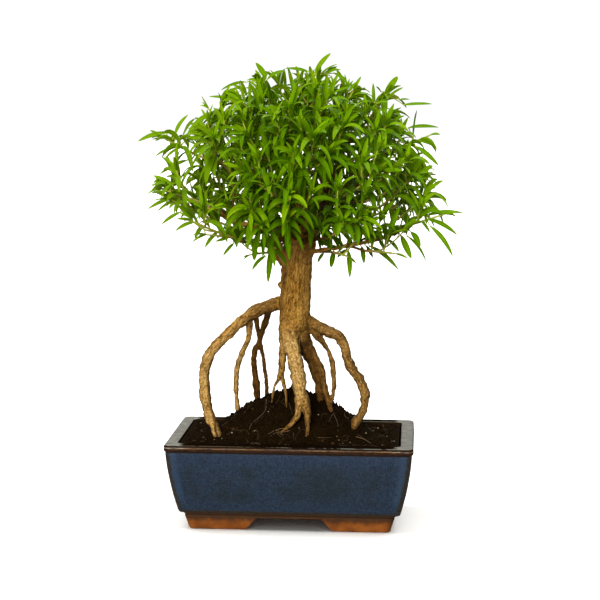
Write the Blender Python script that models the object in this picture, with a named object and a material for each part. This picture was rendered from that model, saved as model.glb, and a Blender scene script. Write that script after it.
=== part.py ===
"""Serissa bonsai with exposed roots, standing in a glazed rectangular pot.

Everything is worked out in millimetres about the centre of the pot on the
surface it stands on (X to the right along the pot, Y away from the front, Z up)
and turned into metres where the meshes are made. At the end one empty moves the
whole object so that its origin is the middle of its own footprint.
"""
import math

import bmesh
import bpy
import numpy as np
from mathutils import Vector
from mathutils.bvhtree import BVHTree

for thing in list(bpy.data.objects):
    bpy.data.objects.remove(thing, do_unlink=True)

MM = 0.001
GAP = 0.3  # clearance kept between pieces that touch

# ---- pot -------------------------------------------------------------------
RIM_LENGTH = 151.0
RIM_DEPTH = 85.0
RIM_TOP = 54.5
RIM_BAND = 4.3  # height of the lip round the top
RIM_LAND = 8.0  # width of the flat top of the lip
BODY_TOP_LENGTH, BODY_TOP_DEPTH = 149.4, 83.2
BODY_LOW_LENGTH, BODY_LOW_DEPTH = 136.0, 71.2
BODY_LOW = 11.0  # where the glazed body ends above the bare clay base
BASE_TOP_LENGTH, BASE_TOP_DEPTH = 130.0, 67.0
FOOT_LENGTH, FOOT_DEPTH = 123.6, 63.0  # round the outside of the four feet
FOOT_HEIGHT = 8.0  # clear height of the arches between the feet
ARCH_LOW_X, ARCH_TOP_X = 27.0, 20.0  # half width of the front arch, low and high
ARCH_LOW_Y, ARCH_TOP_Y = 12.0, 7.0
BELLY = 0.9  # how far the walls bow out half way up
FLOOR = 14.0  # inside floor of the pot
DRAIN_X, DRAIN_RADIUS = 32.0, 5.5

# ---- mesh screens over the drain holes -------------------------------------
SCREEN_SIDE, SCREEN_THICK, SCREEN_BAR = 20.0, 1.2, 2.0
SCREEN_CELLS = 3

# ---- soil ------------------------------------------------------------------
SOIL_EDGE = 52.4  # where the soil meets the pot wall
MOUND_RISE = 26.6
MOUND_X, MOUND_Y = -1.0, 12.0
MOUND_HALF_X, MOUND_FRONT, MOUND_BACK = 52.0, 36.0, 23.0

# ---- trunk and crown -------------------------------------------------------
TRUNK_RADIUS = 9.4
CANOPY = (2.0, 6.0, 190.0)  # middle of the dome of leaves
CANOPY_X, CANOPY_Y, CANOPY_UP, CANOPY_DOWN = 80.0, 73.0, 83.0, 20.0
SHOOTS = 55
SHOOT_LENGTH = 36.0
STEM_RADIUS = 0.72
LEAF_LENGTH = 20.0
LEAF_WIDTH = 4.6
LEAF_THICK = 0.7
GOLDEN = math.pi * (3.0 - math.sqrt(5.0))

AXIS_Z = np.array([0.0, 0.0, 1.0])


# ---------------------------------------------------------------------------
# small vector helpers
# ---------------------------------------------------------------------------
def unit(v):
    v = np.asarray(v, float)
    n = np.linalg.norm(v)
    return v / n if n > 1e-9 else np.array([0.0, 0.0, 1.0])


def any_side(d):
    """A unit vector across d, level where it can be."""
    side = np.cross(d, AXIS_Z)
    if np.linalg.norm(side) < 0.2:
        side = np.cross(d, [0.0, 1.0, 0.0])
    return unit(side)


def hash01(*keys):
    """A repeatable number from 0 to 1 for a set of whole numbers."""
    x = 0.0
    for i, k in enumerate(keys):
        x += math.sin((k + 1.37) * (12.9898 + 7.233 * i)) * 43758.5453
    return x - math.floor(x)


def smooth_path(points, steps):
    """Points (x, y, z, radius) joined by a smooth curve with this many steps between each two."""
    p = np.asarray(points, float)
    ends = np.vstack([2 * p[0] - p[1], p, 2 * p[-1] - p[-2]])
    out = []
    for i in range(len(p) - 1):
        a, b, c, d = ends[i], ends[i + 1], ends[i + 2], ends[i + 3]
        for k in range(steps):
            t = k / steps
            out.append(
                0.5
                * (
                    2 * b
                    + (c - a) * t
                    + (2 * a - 5 * b + 4 * c - d) * t * t
                    + (3 * b - a - 3 * c + d) * t ** 3
                )
            )
    out.append(p[-1])
    return np.array(out)


# ---------------------------------------------------------------------------
# mesh helpers
# ---------------------------------------------------------------------------
def mesh_object(name, verts, faces, colour=(0.5, 0.5, 0.5), roughness=0.6, smooth=None, metallic=0.0):
    mesh = bpy.data.meshes.new(name)
    mesh.from_pydata([tuple(float(c) * MM for c in v) for v in verts], [], faces)
    work = bmesh.new()
    work.from_mesh(mesh)
    bmesh.ops.recalc_face_normals(work, faces=work.faces)
    work.to_mesh(mesh)
    work.free()
    if smooth is not None:
        mesh.shade_smooth()
        mesh.set_sharp_from_angle(angle=math.radians(smooth))
    obj = bpy.data.objects.new(name, mesh)
    bpy.context.scene.collection.objects.link(obj)
    mat = bpy.data.materials.new(name + "_finish")
    mat.use_nodes = True
    shader = mat.node_tree.nodes["Principled BSDF"]
    shader.inputs["Base Color"].default_value = (*colour, 1.0)
    shader.inputs["Roughness"].default_value = roughness
    shader.inputs["Metallic"].default_value = metallic
    mesh.materials.append(mat)
    return obj


def loft(rings):
    """Side faces between rings of equal size, with a flat cap on each end."""
    n = len(rings[0])
    verts = [v for ring in rings for v in ring]
    faces = []
    for k in range(len(rings) - 1):
        for i in range(n):
            j = (i + 1) % n
            faces.append((k * n + i, k * n + j, (k + 1) * n + j, (k + 1) * n + i))
    faces.append(tuple(reversed(range(n))))
    faces.append(tuple(range((len(rings) - 1) * n, len(rings) * n)))
    return verts, faces


def tube(path, sides, grow=0.0, stretch=0.0, turn=0.0):
    """A round limb along path (x, y, z, radius), thicker by grow and longer at its far end by stretch."""
    path = np.array(path, float)
    if stretch:
        path = np.vstack([path, path[-1]])
        path[-1, :3] += unit(path[-2, :3] - path[-3, :3]) * stretch
    centre, radius = path[:, :3], path[:, 3] + grow
    tangents = np.gradient(centre, axis=0)
    side = any_side(unit(tangents[0]))
    rings = []
    for c, r, t in zip(centre, radius, tangents):
        t = unit(t)
        side = unit(side - t * np.dot(side, t))
        over = np.cross(t, side)
        rings.append(
            [
                c + r * (math.cos(a) * side + math.sin(a) * over)
                for a in (turn + 2 * math.pi * i / sides for i in range(sides))
            ]
        )
    return loft(rings)


def rounded_rectangle(half_x, half_y, radius, z, corner=4, along_x=0, along_y=0):
    """Counter-clockwise outline at height z, with extra points along its straight sides."""
    out = []
    corners = ((1, 1, 0), (-1, 1, 90), (-1, -1, 180), (1, -1, 270))
    for index, (sx, sy, start) in enumerate(corners):
        cx, cy = sx * (half_x - radius), sy * (half_y - radius)
        for k in range(corner + 1):
            a = math.radians(start + 90.0 * k / corner)
            out.append((cx + radius * math.cos(a), cy + radius * math.sin(a), z))
        extra = along_x if index in (0, 2) else along_y
        nx, ny, nstart = corners[(index + 1) % 4]
        end = (
            nx * (half_x - radius) + radius * math.cos(math.radians(nstart)),
            ny * (half_y - radius) + radius * math.sin(math.radians(nstart)),
        )
        for k in range(1, extra + 1):
            t = k / (extra + 1)
            x, y, _ = out[-1] if k == 1 else first
            first = (x, y, z)
            out.append((x + (end[0] - x) * t, y + (end[1] - y) * t, z))
    return out


def combine(base, others, operation):
    """base changed by all the others in one exact Boolean; the others are used up."""
    group = bpy.data.collections.new("operands")
    bpy.context.scene.collection.children.link(group)
    for other in others:
        bpy.context.scene.collection.objects.unlink(other)
        group.objects.link(other)
    step = base.modifiers.new("join", "BOOLEAN")
    step.operation = operation
    step.operand_type = "COLLECTION"
    step.collection = group
    step.solver = "EXACT"
    graph = bpy.context.evaluated_depsgraph_get()
    made = bpy.data.meshes.new_from_object(base.evaluated_get(graph), depsgraph=graph)
    base.modifiers.clear()
    old = base.data
    base.data = made
    made.name = base.name
    bpy.data.meshes.remove(old)
    for other in others:
        bpy.data.objects.remove(other, do_unlink=True)
    bpy.data.collections.remove(group)
    work = bmesh.new()
    work.from_mesh(made)
    bmesh.ops.remove_doubles(work, verts=work.verts, dist=0.000005)
    bmesh.ops.dissolve_degenerate(work, dist=0.000005, edges=work.edges)
    work.to_mesh(made)
    work.free()
    material = bpy.data.materials.get(base.name + "_finish")
    made.materials.clear()
    if material:
        made.materials.append(material)
    return base


# ---------------------------------------------------------------------------
# pot: one fired body with a lip, tapered walls, a bare clay base and four feet
# ---------------------------------------------------------------------------
def wall_half(z):
    """Half length and half depth of the cavity at height z."""
    share = min(max((z - 15.6) / (50.0 - 15.6), 0.0), 1.0)
    return 61.2 + 5.6 * share, 28.9 + 5.4 * share


def make_pot():
    hx, hy = RIM_LENGTH / 2, RIM_DEPTH / 2
    lip = RIM_TOP - RIM_BAND
    outline = [
        (FOOT_LENGTH / 2 - 0.7, FOOT_DEPTH / 2 - 0.7, 2.2, 0.0),
        (FOOT_LENGTH / 2, FOOT_DEPTH / 2, 2.6, 0.8),
        (BASE_TOP_LENGTH / 2, BASE_TOP_DEPTH / 2, 3.0, BODY_LOW),
        (BODY_LOW_LENGTH / 2 - 0.9, BODY_LOW_DEPTH / 2 - 0.9, 3.0, BODY_LOW),
        (BODY_LOW_LENGTH / 2, BODY_LOW_DEPTH / 2, 3.4, BODY_LOW + 1.2),
        *(
            (
                BODY_LOW_LENGTH / 2 + (BODY_TOP_LENGTH - BODY_LOW_LENGTH) / 2 * t + BELLY * math.sin(math.pi * t),
                BODY_LOW_DEPTH / 2 + (BODY_TOP_DEPTH - BODY_LOW_DEPTH) / 2 * t + BELLY * math.sin(math.pi * t),
                3.5,
                BODY_LOW + 1.2 + (lip - 0.4 - BODY_LOW - 1.2) * t,
            )
            for t in (0.25, 0.5, 0.75)
        ),
        (BODY_TOP_LENGTH / 2, BODY_TOP_DEPTH / 2, 3.6, lip - 0.4),
        (hx - 0.5, hy - 0.5, 3.7, lip),
        (hx, hy, 3.8, lip + 0.9),
        (hx, hy, 3.8, RIM_TOP - 1.3),
        (hx - 0.5, hy - 0.5, 3.6, RIM_TOP - 0.4),
        (hx - 1.5, hy - 1.5, 3.2, RIM_TOP),
        (hx - RIM_LAND + 0.8, hy - RIM_LAND + 0.8, 3.2, RIM_TOP),
        (hx - RIM_LAND, hy - RIM_LAND, 3.0, RIM_TOP - 0.6),
        (66.8, 34.3, 3.0, 50.0),
        (61.2, 28.9, 4.5, FLOOR + 1.6),
        (59.6, 27.3, 4.0, FLOOR),
    ]
    verts, faces = loft([rounded_rectangle(*row) for row in outline])
    pot = mesh_object("pot", verts, faces, (0.035, 0.055, 0.105), 0.32)
    cutters = []
    # arch from front to back, between the left and right feet
    profile = [(-ARCH_LOW_X - 0.9, -1.0), (ARCH_LOW_X + 0.9, -1.0), (ARCH_TOP_X, FOOT_HEIGHT), (-ARCH_TOP_X, FOOT_HEIGHT)]
    verts, faces = loft([[(x, y, z) for x, z in profile] for y in (-45.0, 45.0)])
    cutters.append(mesh_object("arch_y", verts, faces))
    # arch from end to end, between the front and back feet
    profile = [(-ARCH_LOW_Y - 0.9, -1.0), (ARCH_LOW_Y + 0.9, -1.0), (ARCH_TOP_Y, FOOT_HEIGHT), (-ARCH_TOP_Y, FOOT_HEIGHT)]
    verts, faces = loft([[(x, y, z) for y, z in profile] for x in (-75.0, 75.0)])
    cutters.append(mesh_object("arch_x", verts, faces))
    for sign in (-1, 1):
        ring = [
            (sign * DRAIN_X + DRAIN_RADIUS * math.cos(a), DRAIN_RADIUS * math.sin(a))
            for a in (2 * math.pi * (k + 0.5) / 16 for k in range(16))
        ]
        verts, faces = loft([[(x, y, z) for x, y in ring] for z in (4.0, FLOOR + 3.0)])
        cutters.append(mesh_object("drain", verts, faces))
    combine(pot, cutters, "DIFFERENCE")
    pot.data.shade_smooth()
    pot.data.set_sharp_from_angle(angle=math.radians(32))
    return pot


# ---------------------------------------------------------------------------
# coarse plastic screen that keeps the soil off each drain hole
# ---------------------------------------------------------------------------
def make_screen(name, cx):
    cells = 2 * SCREEN_CELLS + 1
    hole = (SCREEN_SIDE - SCREEN_BAR * (SCREEN_CELLS + 1)) / SCREEN_CELLS
    lines = [0.0]
    for k in range(cells):
        lines.append(lines[-1] + (hole if k % 2 else SCREEN_BAR))
    work = bmesh.new()
    grid = [
        [work.verts.new(((cx + x - SCREEN_SIDE / 2) * MM, (y - SCREEN_SIDE / 2) * MM, (FLOOR + GAP) * MM)) for y in lines]
        for x in lines
    ]
    kept = [
        work.faces.new((grid[i][j], grid[i + 1][j], grid[i + 1][j + 1], grid[i][j + 1]))
        for i in range(cells)
        for j in range(cells)
        if not (i % 2 and j % 2)
    ]
    raised = bmesh.ops.extrude_face_region(work, geom=kept)
    bmesh.ops.translate(
        work,
        verts=[g for g in raised["geom"] if isinstance(g, bmesh.types.BMVert)],
        vec=(0, 0, SCREEN_THICK * MM),
    )
    bmesh.ops.recalc_face_normals(work, faces=work.faces)
    bmesh.ops.dissolve_limit(work, angle_limit=0.01, verts=work.verts, edges=work.edges)
    mesh = bpy.data.meshes.new(name)
    work.to_mesh(mesh)
    work.free()
    obj = mesh_object(name, [(0, 0, 0), (1, 0, 0), (0, 1, 0)], [(0, 1, 2)], (0.02, 0.02, 0.02), 0.7)
    old = obj.data
    mesh.materials.append(old.materials[0])
    obj.data = mesh
    bpy.data.meshes.remove(old)
    mesh.name = name
    return obj


# ---------------------------------------------------------------------------
# soil: fills the pot and is heaped up round the roots
# ---------------------------------------------------------------------------
def soil_height(x, y):
    reach = MOUND_FRONT if y < MOUND_Y else MOUND_BACK
    r = math.hypot((x - MOUND_X) / MOUND_HALF_X, (y - MOUND_Y) / reach)
    heap = max(0.0, 1.0 - r ** 1.6)
    heap = heap if r < 0.8 else heap * max(0.0, 1.0 - (r - 0.8) / 0.5) ** 0.5
    lumps = 0.5 * math.sin(0.31 * x + 1.7) * math.cos(0.37 * y) + 0.35 * math.sin(0.53 * y - 0.47 * x)
    return SOIL_EDGE + 0.1 + MOUND_RISE * heap + lumps * min(1.0, 0.3 + heap)


def make_soil():
    side = [
        (59.2, 26.9, 3.8, FLOOR + GAP),
        (60.8, 28.5, 4.2, FLOOR + 2.0),
        (66.4, 33.9, 3.3, 50.0),
        (66.5, 34.0, 3.3, SOIL_EDGE),
    ]
    rings = [rounded_rectangle(*row, corner=2, along_x=7, along_y=4) for row in side]
    edge = rings[-1]
    for scale in (0.93, 0.82, 0.71, 0.6, 0.49, 0.38, 0.27, 0.17, 0.08):
        ring = []
        for x, y, _ in edge:
            px = MOUND_X * (1 - scale) + x * scale
            py = (MOUND_Y - 2.0) * (1 - scale) + y * scale
            ring.append((px, py, soil_height(px, py)))
        rings.append(ring)
    verts, faces = loft(rings)
    return mesh_object("soil", verts, faces, (0.016, 0.010, 0.005), 0.95)


# ---------------------------------------------------------------------------
# wood: trunk, exposed roots and branches, grown as one piece
# ---------------------------------------------------------------------------
# Each root is a run of design points: x, y, z, radius. Each ends inside the soil.
ROOTS = {
    "arch_left": [(-1, 6, 137, 5), (-8, 5.4, 135.5, 4.5), (-16, 3.2, 133.5, 4.1), (-26, 0.8, 129.2, 3.8), (-34.4, -1, 122.5, 3.4),
                  (-46.5, -2.5, 110.6, 3.2), (-53.0, -3, 101.2, 3.4), (-55.6, -3.5, 90, 3.4), (-55, -3.5, 78.5, 3.3),
                  (-52.3, -3.5, 64.6, 3.1), (-48, -4, 55.8, 2.6), (-44.5, -4.3, 49.5, 2.0), (-41.5, -4.5, 44, 1.4)],
    "left_outer": [(-27.4, 1, 128, 2.2), (-28.2, 6, 114.2, 2.1), (-31.2, 9, 106.6, 1.9), (-34.7, 12, 98.6, 1.9),
                   (-37.1, 15, 90, 1.9), (-37.7, 17, 81.3, 1.9), (-37.7, 18, 71.3, 1.9), (-36.7, 19, 63.3, 1.8), (-35, 20, 53, 1.3)],
    "left_thin": [(-23.5, 2, 129, 1.7), (-22.6, 10, 113.6, 1.4), (-20.5, 15, 100, 1.4), (-19.5, 17.2, 90.4, 1.3),
                  (-18.4, 18.5, 81, 1.3), (-18.6, 19.5, 74.5, 1.3), (-18.8, 20, 63, 1.0)],
    "left_inner": [(-15.2, 3, 132, 2.2), (-18, 9, 123.3, 2.0), (-22.5, 12.2, 109.3, 1.9), (-25.4, 13.5, 103.9, 1.9),
                   (-26.3, 15, 96.7, 1.9), (-25.8, 17, 87.3, 1.9), (-25, 18, 78, 1.9), (-24, 18.5, 70.7, 1.8), (-23, 19, 58, 1.3)],
    "front_small": [(-3.6, 0, 130, 3.6), (-5.6, -1, 124.3, 3.2), (-6.0, -2.4, 117.6, 3.2), (-5.8, -3.2, 110.2, 2.9),
                    (-6.2, -3.6, 104, 2.7), (-6.6, -3.6, 98.3, 2.3), (-7.4, -3.4, 92.6, 2.1), (-9.2, -3.2, 88.1, 1.3),
                    (-11.1, -2.8, 84.2, 0.9), (-12.4, -2, 79.6, 0.7), (-13.2, -0.6, 74.2, 0.55),
                    (-13.3, 0.5, 68.2, 0.45)],
    "front_small_fork": [(-6.8, -3.6, 93.3, 1.7), (-6, -3.2, 87.5, 1.4), (-4.8, -3, 82.5, 1.1),
                         (-4.2, -3.4, 77.5, 0.8), (-3.8, -4.2, 71.9, 0.6), (-3.7, -5, 65.8, 0.5)],
    "front": [(0.6, 0.2, 131, 6), (-0.9, -1.4, 125, 5.8), (-2.5, -2.8, 119.6, 5.2), (-1.3, -4.6, 113.7, 4.7),
              (0.4, -6.6, 108.4, 4.6), (2.4, -9, 100.7, 4.5), (3.9, -11, 94.6, 4.5), (5.0, -13, 88.5, 4.5),
              (5.8, -14.5, 82.4, 4.3), (5.6, -15.4, 77.6, 3.6), (4.7, -16.2, 72.7, 2.7), (3.9, -16.5, 69, 2.3),
              (1.9, -16.9, 65.4, 1.9), (-0.7, -17.2, 62.4, 1.5), (-3.5, -17.4, 60.1, 1), (-6, -17.6, 57.8, 0.7),
              (-9.6, -18, 51.5, 0.5)],
    "front_fork": [(6, -14, 84.8, 2.6), (7.6, -14.8, 80, 2.6), (9.0, -15.5, 75.8, 2.4), (9.9, -16.3, 71.6, 2.2),
                   (10.2, -16.9, 66.7, 1.9), (10.4, -17.3, 62.4, 1.6), (10.2, -17.7, 58.1, 1.2),
                   (10.3, -18.2, 51, 0.8)],
    "right_back_a": [(2.8, 3, 122, 5.2), (4.7, 3, 113.8, 4.6), (6.7, 5, 107.2, 3.6), (8.9, 6, 101.6, 2.7),
                     (11, 6.5, 96.2, 2.2), (13.3, 6.2, 90.8, 2.1), (14.7, 5.8, 85, 2), (15.5, 5.2, 79.9, 2.1),
                     (16.7, 4.4, 75, 1.9), (18.3, 3.6, 70, 1.6), (19.8, 3, 63.8, 1.1)],
    "right_back_b": [(4, 3, 123, 5), (5.6, 4, 116.2, 4.2), (7.8, 5.4, 112.2, 3.4), (10.1, 6.2, 107.8, 2.7),
                     (13.2, 6.5, 101.9, 2.3), (15.9, 6.3, 96.3, 2.15), (17.6, 5.6, 91.3, 2), (18.9, 4.6, 85.3, 2),
                     (19.9, 3.6, 80.3, 2.1), (21.7, 2.2, 74.8, 1.8), (23.2, 1, 70, 1.5), (24.3, 0.5, 63.8, 1),
                     (25, 0, 58.5, 0.8)],
    "right_thin": [(5, 3.4, 123.5, 3.6), (9.6, 3.8, 120, 3.1), (13.9, 4.6, 116.4, 2.5), (18, 6.2, 110.9, 1.8), (20.8, 7, 106.4, 1.5), (22.6, 7, 102.3, 1.5),
                   (24, 6.6, 97.6, 1.5), (25, 5.8, 91.4, 1.5), (25.3, 4.6, 84.6, 1.5), (25, 3.4, 79.1, 1.5),
                   (24, 2.2, 74.2, 1.4), (22.7, 1.2, 69.3, 1), (22.3, 1, 62.5, 0.8)],
    "arch_right": [(1.5, 2.5, 130.5, 5.5), (7, 3.2, 126.8, 4.6), (12.5, 4, 122.8, 4.2), (20.8, 4.5, 118.2, 3.4),
                   (27.6, 5, 115, 3.3), (31.6, 5, 109, 3.2), (33.2, 5, 102.4, 3.1), (35.8, 5, 95.5, 3.0),
                   (41.0, 5, 88, 3.1), (44.3, 4.5, 80.5, 3.0), (44.9, 4, 73.8, 2.8), (43.4, 3.2, 68, 2.75),
                   (40.3, 1.6, 62.8, 2.6), (37.6, -0.6, 58.2, 2.2), (35.8, -2.4, 54.4, 1.5), (34.2, -3.8, 49.5, 1)],
    "back_small": [(1, 4.5, 120, 4), (1.2, 8, 108.5, 3.2), (1.9, 11, 99.7, 2.2), (1.4, 13, 91.6, 1.8),
                   (0.4, 14, 85, 1.7), (-0.8, 14.4, 79.8, 1.7), (-1.9, 14.6, 74.5, 1.5), (-3.2, 15, 65.4, 0.9)],
    "back": [(2.5, 5, 121, 4.2), (4.6, 8, 113, 3.7), (9.1, 12, 103.5, 3), (13.8, 17, 92.4, 2.5),
             (15.5, 20, 84.1, 2.2), (16.1, 22, 77.2, 2), (16.3, 23.5, 70.4, 1.6), (16.6, 24.5, 62.4, 1.1),
             (16.8, 25.2, 55.5, 0.8)],
}
TRUNK = [(-1.0, -1.6, 111, 4.2), (-0.8, -0.4, 116, 6.2), (0.2, 1.0, 123, 8.6), (1.2, 2.0, 133, 9.8), (1.5, 2.5, 146, 9.5), (1.8, 2.6, 156, 9.6),
         (2.6, 2.8, 165, 9.0), (4.2, 3.2, 173, 7.4), (5.0, 3.8, 182, 6.3), (5.2, 4.6, 194, 5.3), (3.5, 5.5, 208, 4.2), (4, 6, 224, 2.8)]
# The limbs that the front shows; the others follow from where the shoots are.
LIMB_RIGHT = [(4, 1, 164.5, 2.6), (9, -2, 167.2, 2.1), (14, -5, 168.9, 1.7), (33, -9, 172.6, 1.4), (54, -11, 177.6, 1.25), (70, -12, 184.5, 1.1)]
LIMB_LEFT = [(0, 1, 157, 3.6), (-6, -0.6, 163, 3.5), (-8.8, -1.8, 169, 3.2), (-10.2, -2.6, 176, 2.8), (-15, -4, 182, 2.3),
             (-32, -6.5, 186.5, 1.8), (-54, -8, 196, 1.2)]
LIMB_DARK = [(5, 5, 158, 3.8), (9.2, 6.4, 166.5, 3.4), (11.6, 7.6, 175, 2.9), (13.4, 9, 184, 2.6), (17.4, 10, 197, 1.9), (22, 12, 212, 1.3)]
KNOBS = [((-8.6, -1.4, 166.4), (-12.0, -2.8, 162.6), 1.5, 0.6), ((-5.6, 0, 146.4), (-8.8, -1.2, 148.6), 2.2, 1.1),
         ((8.0, -1, 158.8), (11.7, -1.8, 159.6), 1.8, 0.9)]


def dome(direction):
    """Where a ray from the middle of the crown leaves the dome of shoot tips."""
    d = unit(direction)
    up = CANOPY_UP if d[2] > 0 else CANOPY_DOWN
    r = 1.0 / math.sqrt((d[0] / CANOPY_X) ** 2 + (d[1] / CANOPY_Y) ** 2 + (d[2] / up) ** 2)
    return np.array(CANOPY) + d * r


# Shoots that stand out in the outline: tip (x, y, z), the way it grew and, where it is short, its length.
LEADERS = [
    ((-25, -21, 168), (-0.55, -0.6, -0.12), 19.0),
    ((36, -27, 168), (0.45, -0.7, -0.15), 19.0),
    ((64, -29, 170), (0.60, -0.5, -0.10), 24.0),
    ((-81, -2, 239), (-0.72, 0.0, 0.62)),
    ((-79, -10, 207), (-0.80, -0.1, 0.42)),
    ((-19, -1, 271), (-0.12, -0.1, 1.0)),
    ((15, -1, 275), (0.08, -0.1, 1.0)),
    ((57, 3, 265), (0.28, -0.1, 0.95)),
    ((93, -12, 193), (0.85, -0.1, 0.40)),
    ((84, 2, 240), (0.80, 0.0, 0.50)),
    ((-52, 0, 256), (-0.45, 0.0, 0.85)),
    ((-52, -16, 180), (-0.62, -0.25, 0.10)),
    ((0, 12, 270), (0.0, 0.1, 1.0)),
    ((37, 1, 267), (0.25, -0.1, 0.95)),
    # the ones that face the front
    ((-49, -26, 239), (-0.20, -0.30, 0.95)),
    ((0, -34, 256), (0.0, -0.22, 1.0)),
    ((-25, -53, 221), (-0.50, -0.32, 0.80)),
    ((16, -48, 240), (0.08, -0.35, 0.95)),
    ((33, -35, 248), (0.14, -0.30, 0.95)),
    ((57, -20, 247), (0.10, -0.25, 0.95)),
    ((74, -15, 217), (0.40, -0.25, 0.85)),
    ((3, -62, 207), (0.08, -0.45, 0.88)),
    ((84, -4, 207), (0.45, -0.20, 0.85)),
]


def shoot_frames():
    """Base, bend and tip of every leafy shoot, spread evenly over the dome."""
    tips = [np.array(row[0], float) for row in LEADERS]
    grows = [unit(row[1]) for row in LEADERS]
    short = {i: row[2] for i, row in enumerate(LEADERS) if len(row) > 2}
    k = 0
    want = SHOOTS
    outer = want - 6
    while len(tips) < outer:
        # a golden-angle spiral from the top of the dome down past its widest part
        z = 0.97 - 1.25 * (k + 0.5) / 50.0
        if z < -0.30:
            break
        a = GOLDEN * k + 0.6
        flat = math.sqrt(max(0.0, 1 - z * z))
        d = np.array([flat * math.cos(a), flat * math.sin(a), z])
        tip = dome(d) * 1.0
        k += 1
        if min(np.linalg.norm(tip - other) for other in tips) < 21.0:
            continue
        tips.append(tip)
        grows.append(unit(d * np.array([1.0, 1.0, 0.55]) + np.array([0, 0, 0.62 if z > -0.05 else 0.30])))
    k = 0
    print("outer shoots", len(tips))
    outer = len(tips)
    want = outer + 6
    while len(tips) < want:
        # a second, inner layer that closes the crown
        z = 0.80 - 1.05 * (k + 0.5) / (want - outer)
        a = GOLDEN * k + 2.1
        flat = math.sqrt(max(0.0, 1 - z * z))
        d = np.array([flat * math.cos(a), flat * math.sin(a), z])
        tip = np.array(CANOPY) + (dome(d) - np.array(CANOPY)) * 0.60
        tips.append(tip)
        grows.append(unit(d * np.array([1.0, 1.0, 0.5]) + np.array([0, 0, 0.5])))
        k += 1
    frames = []
    for i, (tip, grow) in enumerate(zip(tips, grows)):
        length = short.get(i, SHOOT_LENGTH * (0.88 + 0.24 * hash01(i, 3)))
        # the base lies back along the growth, nearer to the middle and lower, so that the shoot turns up
        level = unit(np.array([grow[0], grow[1], 0.12]))
        base = tip - grow * length * 0.55 - level * length * 0.45
        bend = base + unit(0.6 * level + 0.4 * grow) * length * 0.5
        frames.append((base, bend, tip, length))
    return frames


def bezier(a, b, c, t):
    return a * (1 - t) ** 2 + b * 2 * t * (1 - t) + c * t * t


def limb_paths(frames):
    """Main limbs, then one twig to the base of every shoot."""
    top = np.array([2.3, 3.6, 183.0])
    main = {"right": smooth_path(LIMB_RIGHT, 2), "left": smooth_path(LIMB_LEFT, 1), "dark": smooth_path(LIMB_DARK, 1)}
    directions = {"right": unit((70, -13, 3)), "left": unit((-56, -10, 14)), "dark": unit((18, 8, 30))}
    tiers = [(0.18, (40, 88, 135, 205, 250, 300, 335), 176.0), (0.75, (20, 95, 165, 235, 310), 190.0)]
    members = {}
    for rise, azimuths, _ in tiers:
        for a in azimuths:
            flat = unit((math.cos(math.radians(a)), math.sin(math.radians(a)), rise))
            directions["%02d_%03d" % (int(rise * 100), a)] = flat
    directions["leader"] = np.array([0.0, 0.0, 1.0])
    for i, (base, _, _, _) in enumerate(frames):
        towards = unit(base - top)
        name = max(directions, key=lambda n: float(np.dot(directions[n], towards)) + (0.04 if n in ("right", "left") else 0.0))
        members.setdefault(name, []).append(i)
    paths = []
    twigs = []
    for name, inside in sorted(members.items()):
        bases = [frames[i][0] for i in inside]
        mean = sum(bases) / len(bases)
        if name == "leader":
            path = smooth_path(TRUNK, 2)
        elif name in main:
            path = main[name]
        else:
            rise = directions[name][2]
            foot = np.array([2.0, 3.4, 172.0 + 16.0 * rise + 3.0 * math.sin(len(paths) * 2.3)])
            end = foot + (mean - foot) * 0.72
            thick = 2.0 + 0.32 * len(inside)
            side = any_side(unit(end - foot))
            mid1 = foot + (end - foot) * 0.35 + side * 1.8 * math.sin(3.1 * len(paths)) + AXIS_Z * (2.0 - 3.0 * rise)
            mid2 = foot + (end - foot) * 0.70 - side * 1.6 * math.sin(3.1 * len(paths)) + AXIS_Z * (1.2 - 2.0 * rise)
            path = smooth_path(
                [(*foot, thick), (*mid1, thick * 0.8), (*mid2, thick * 0.62), (*end, thick * 0.45)], 2
            )
            paths.append(path)
        for i in inside:
            base, bend, _, _ = frames[i]
            into = unit(bend - base)
            # leave the limb where it comes nearest to a point short of the shoot
            aim = base - into * 14.0
            inner = path[1:-1] if len(path) > 3 else path
            near = min(range(len(inner)), key=lambda n: np.linalg.norm(inner[n][:3] - aim) + 6.0 * hash01(i, n))
            start = inner[near]
            along = unit(path[min(near + 2, len(path) - 1)][:3] - path[near][:3])
            span = np.linalg.norm(base - start[:3])
            end = base - into * GAP
            c1 = start[:3] + along * span * 0.30
            c2 = end - into * min(12.0, span * 0.35)
            thick0 = min(start[3] * 0.8, 1.5)
            thick1 = STEM_RADIUS + 0.15
            steps = 4 if span > 30 else 3 if span > 12 else 2
            rows = []
            for n in range(steps + 1):
                t = n / steps
                p = start[:3] * (1 - t) ** 3 + 3 * c1 * t * (1 - t) ** 2 + 3 * c2 * t * t * (1 - t) + end * t ** 3
                rows.append((*p, thick0 + (thick1 - thick0) * t))
            rows[-1] = (*end, thick1)
            rows.insert(-1, (*(end - into * 1.6), thick1))
            twigs.append(np.array(rows))
    for name, path in main.items():
        paths.append(path)
    return paths, twigs


def root_pieces(grow=0.0, stretch=0.0):
    made = []
    for index, (name, rows) in enumerate(sorted(ROOTS.items())):
        sides = 9 if name in ("front", "arch_left", "arch_right") else 7 if "back" in name or "front" in name else 6
        verts, faces = tube(rows if len(rows) > 9 else smooth_path(rows, 1), sides, grow, stretch, turn=0.21 * index)
        made.append((name, verts, faces))
    return made


BARK = (0.35, 0.22, 0.085)


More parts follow.
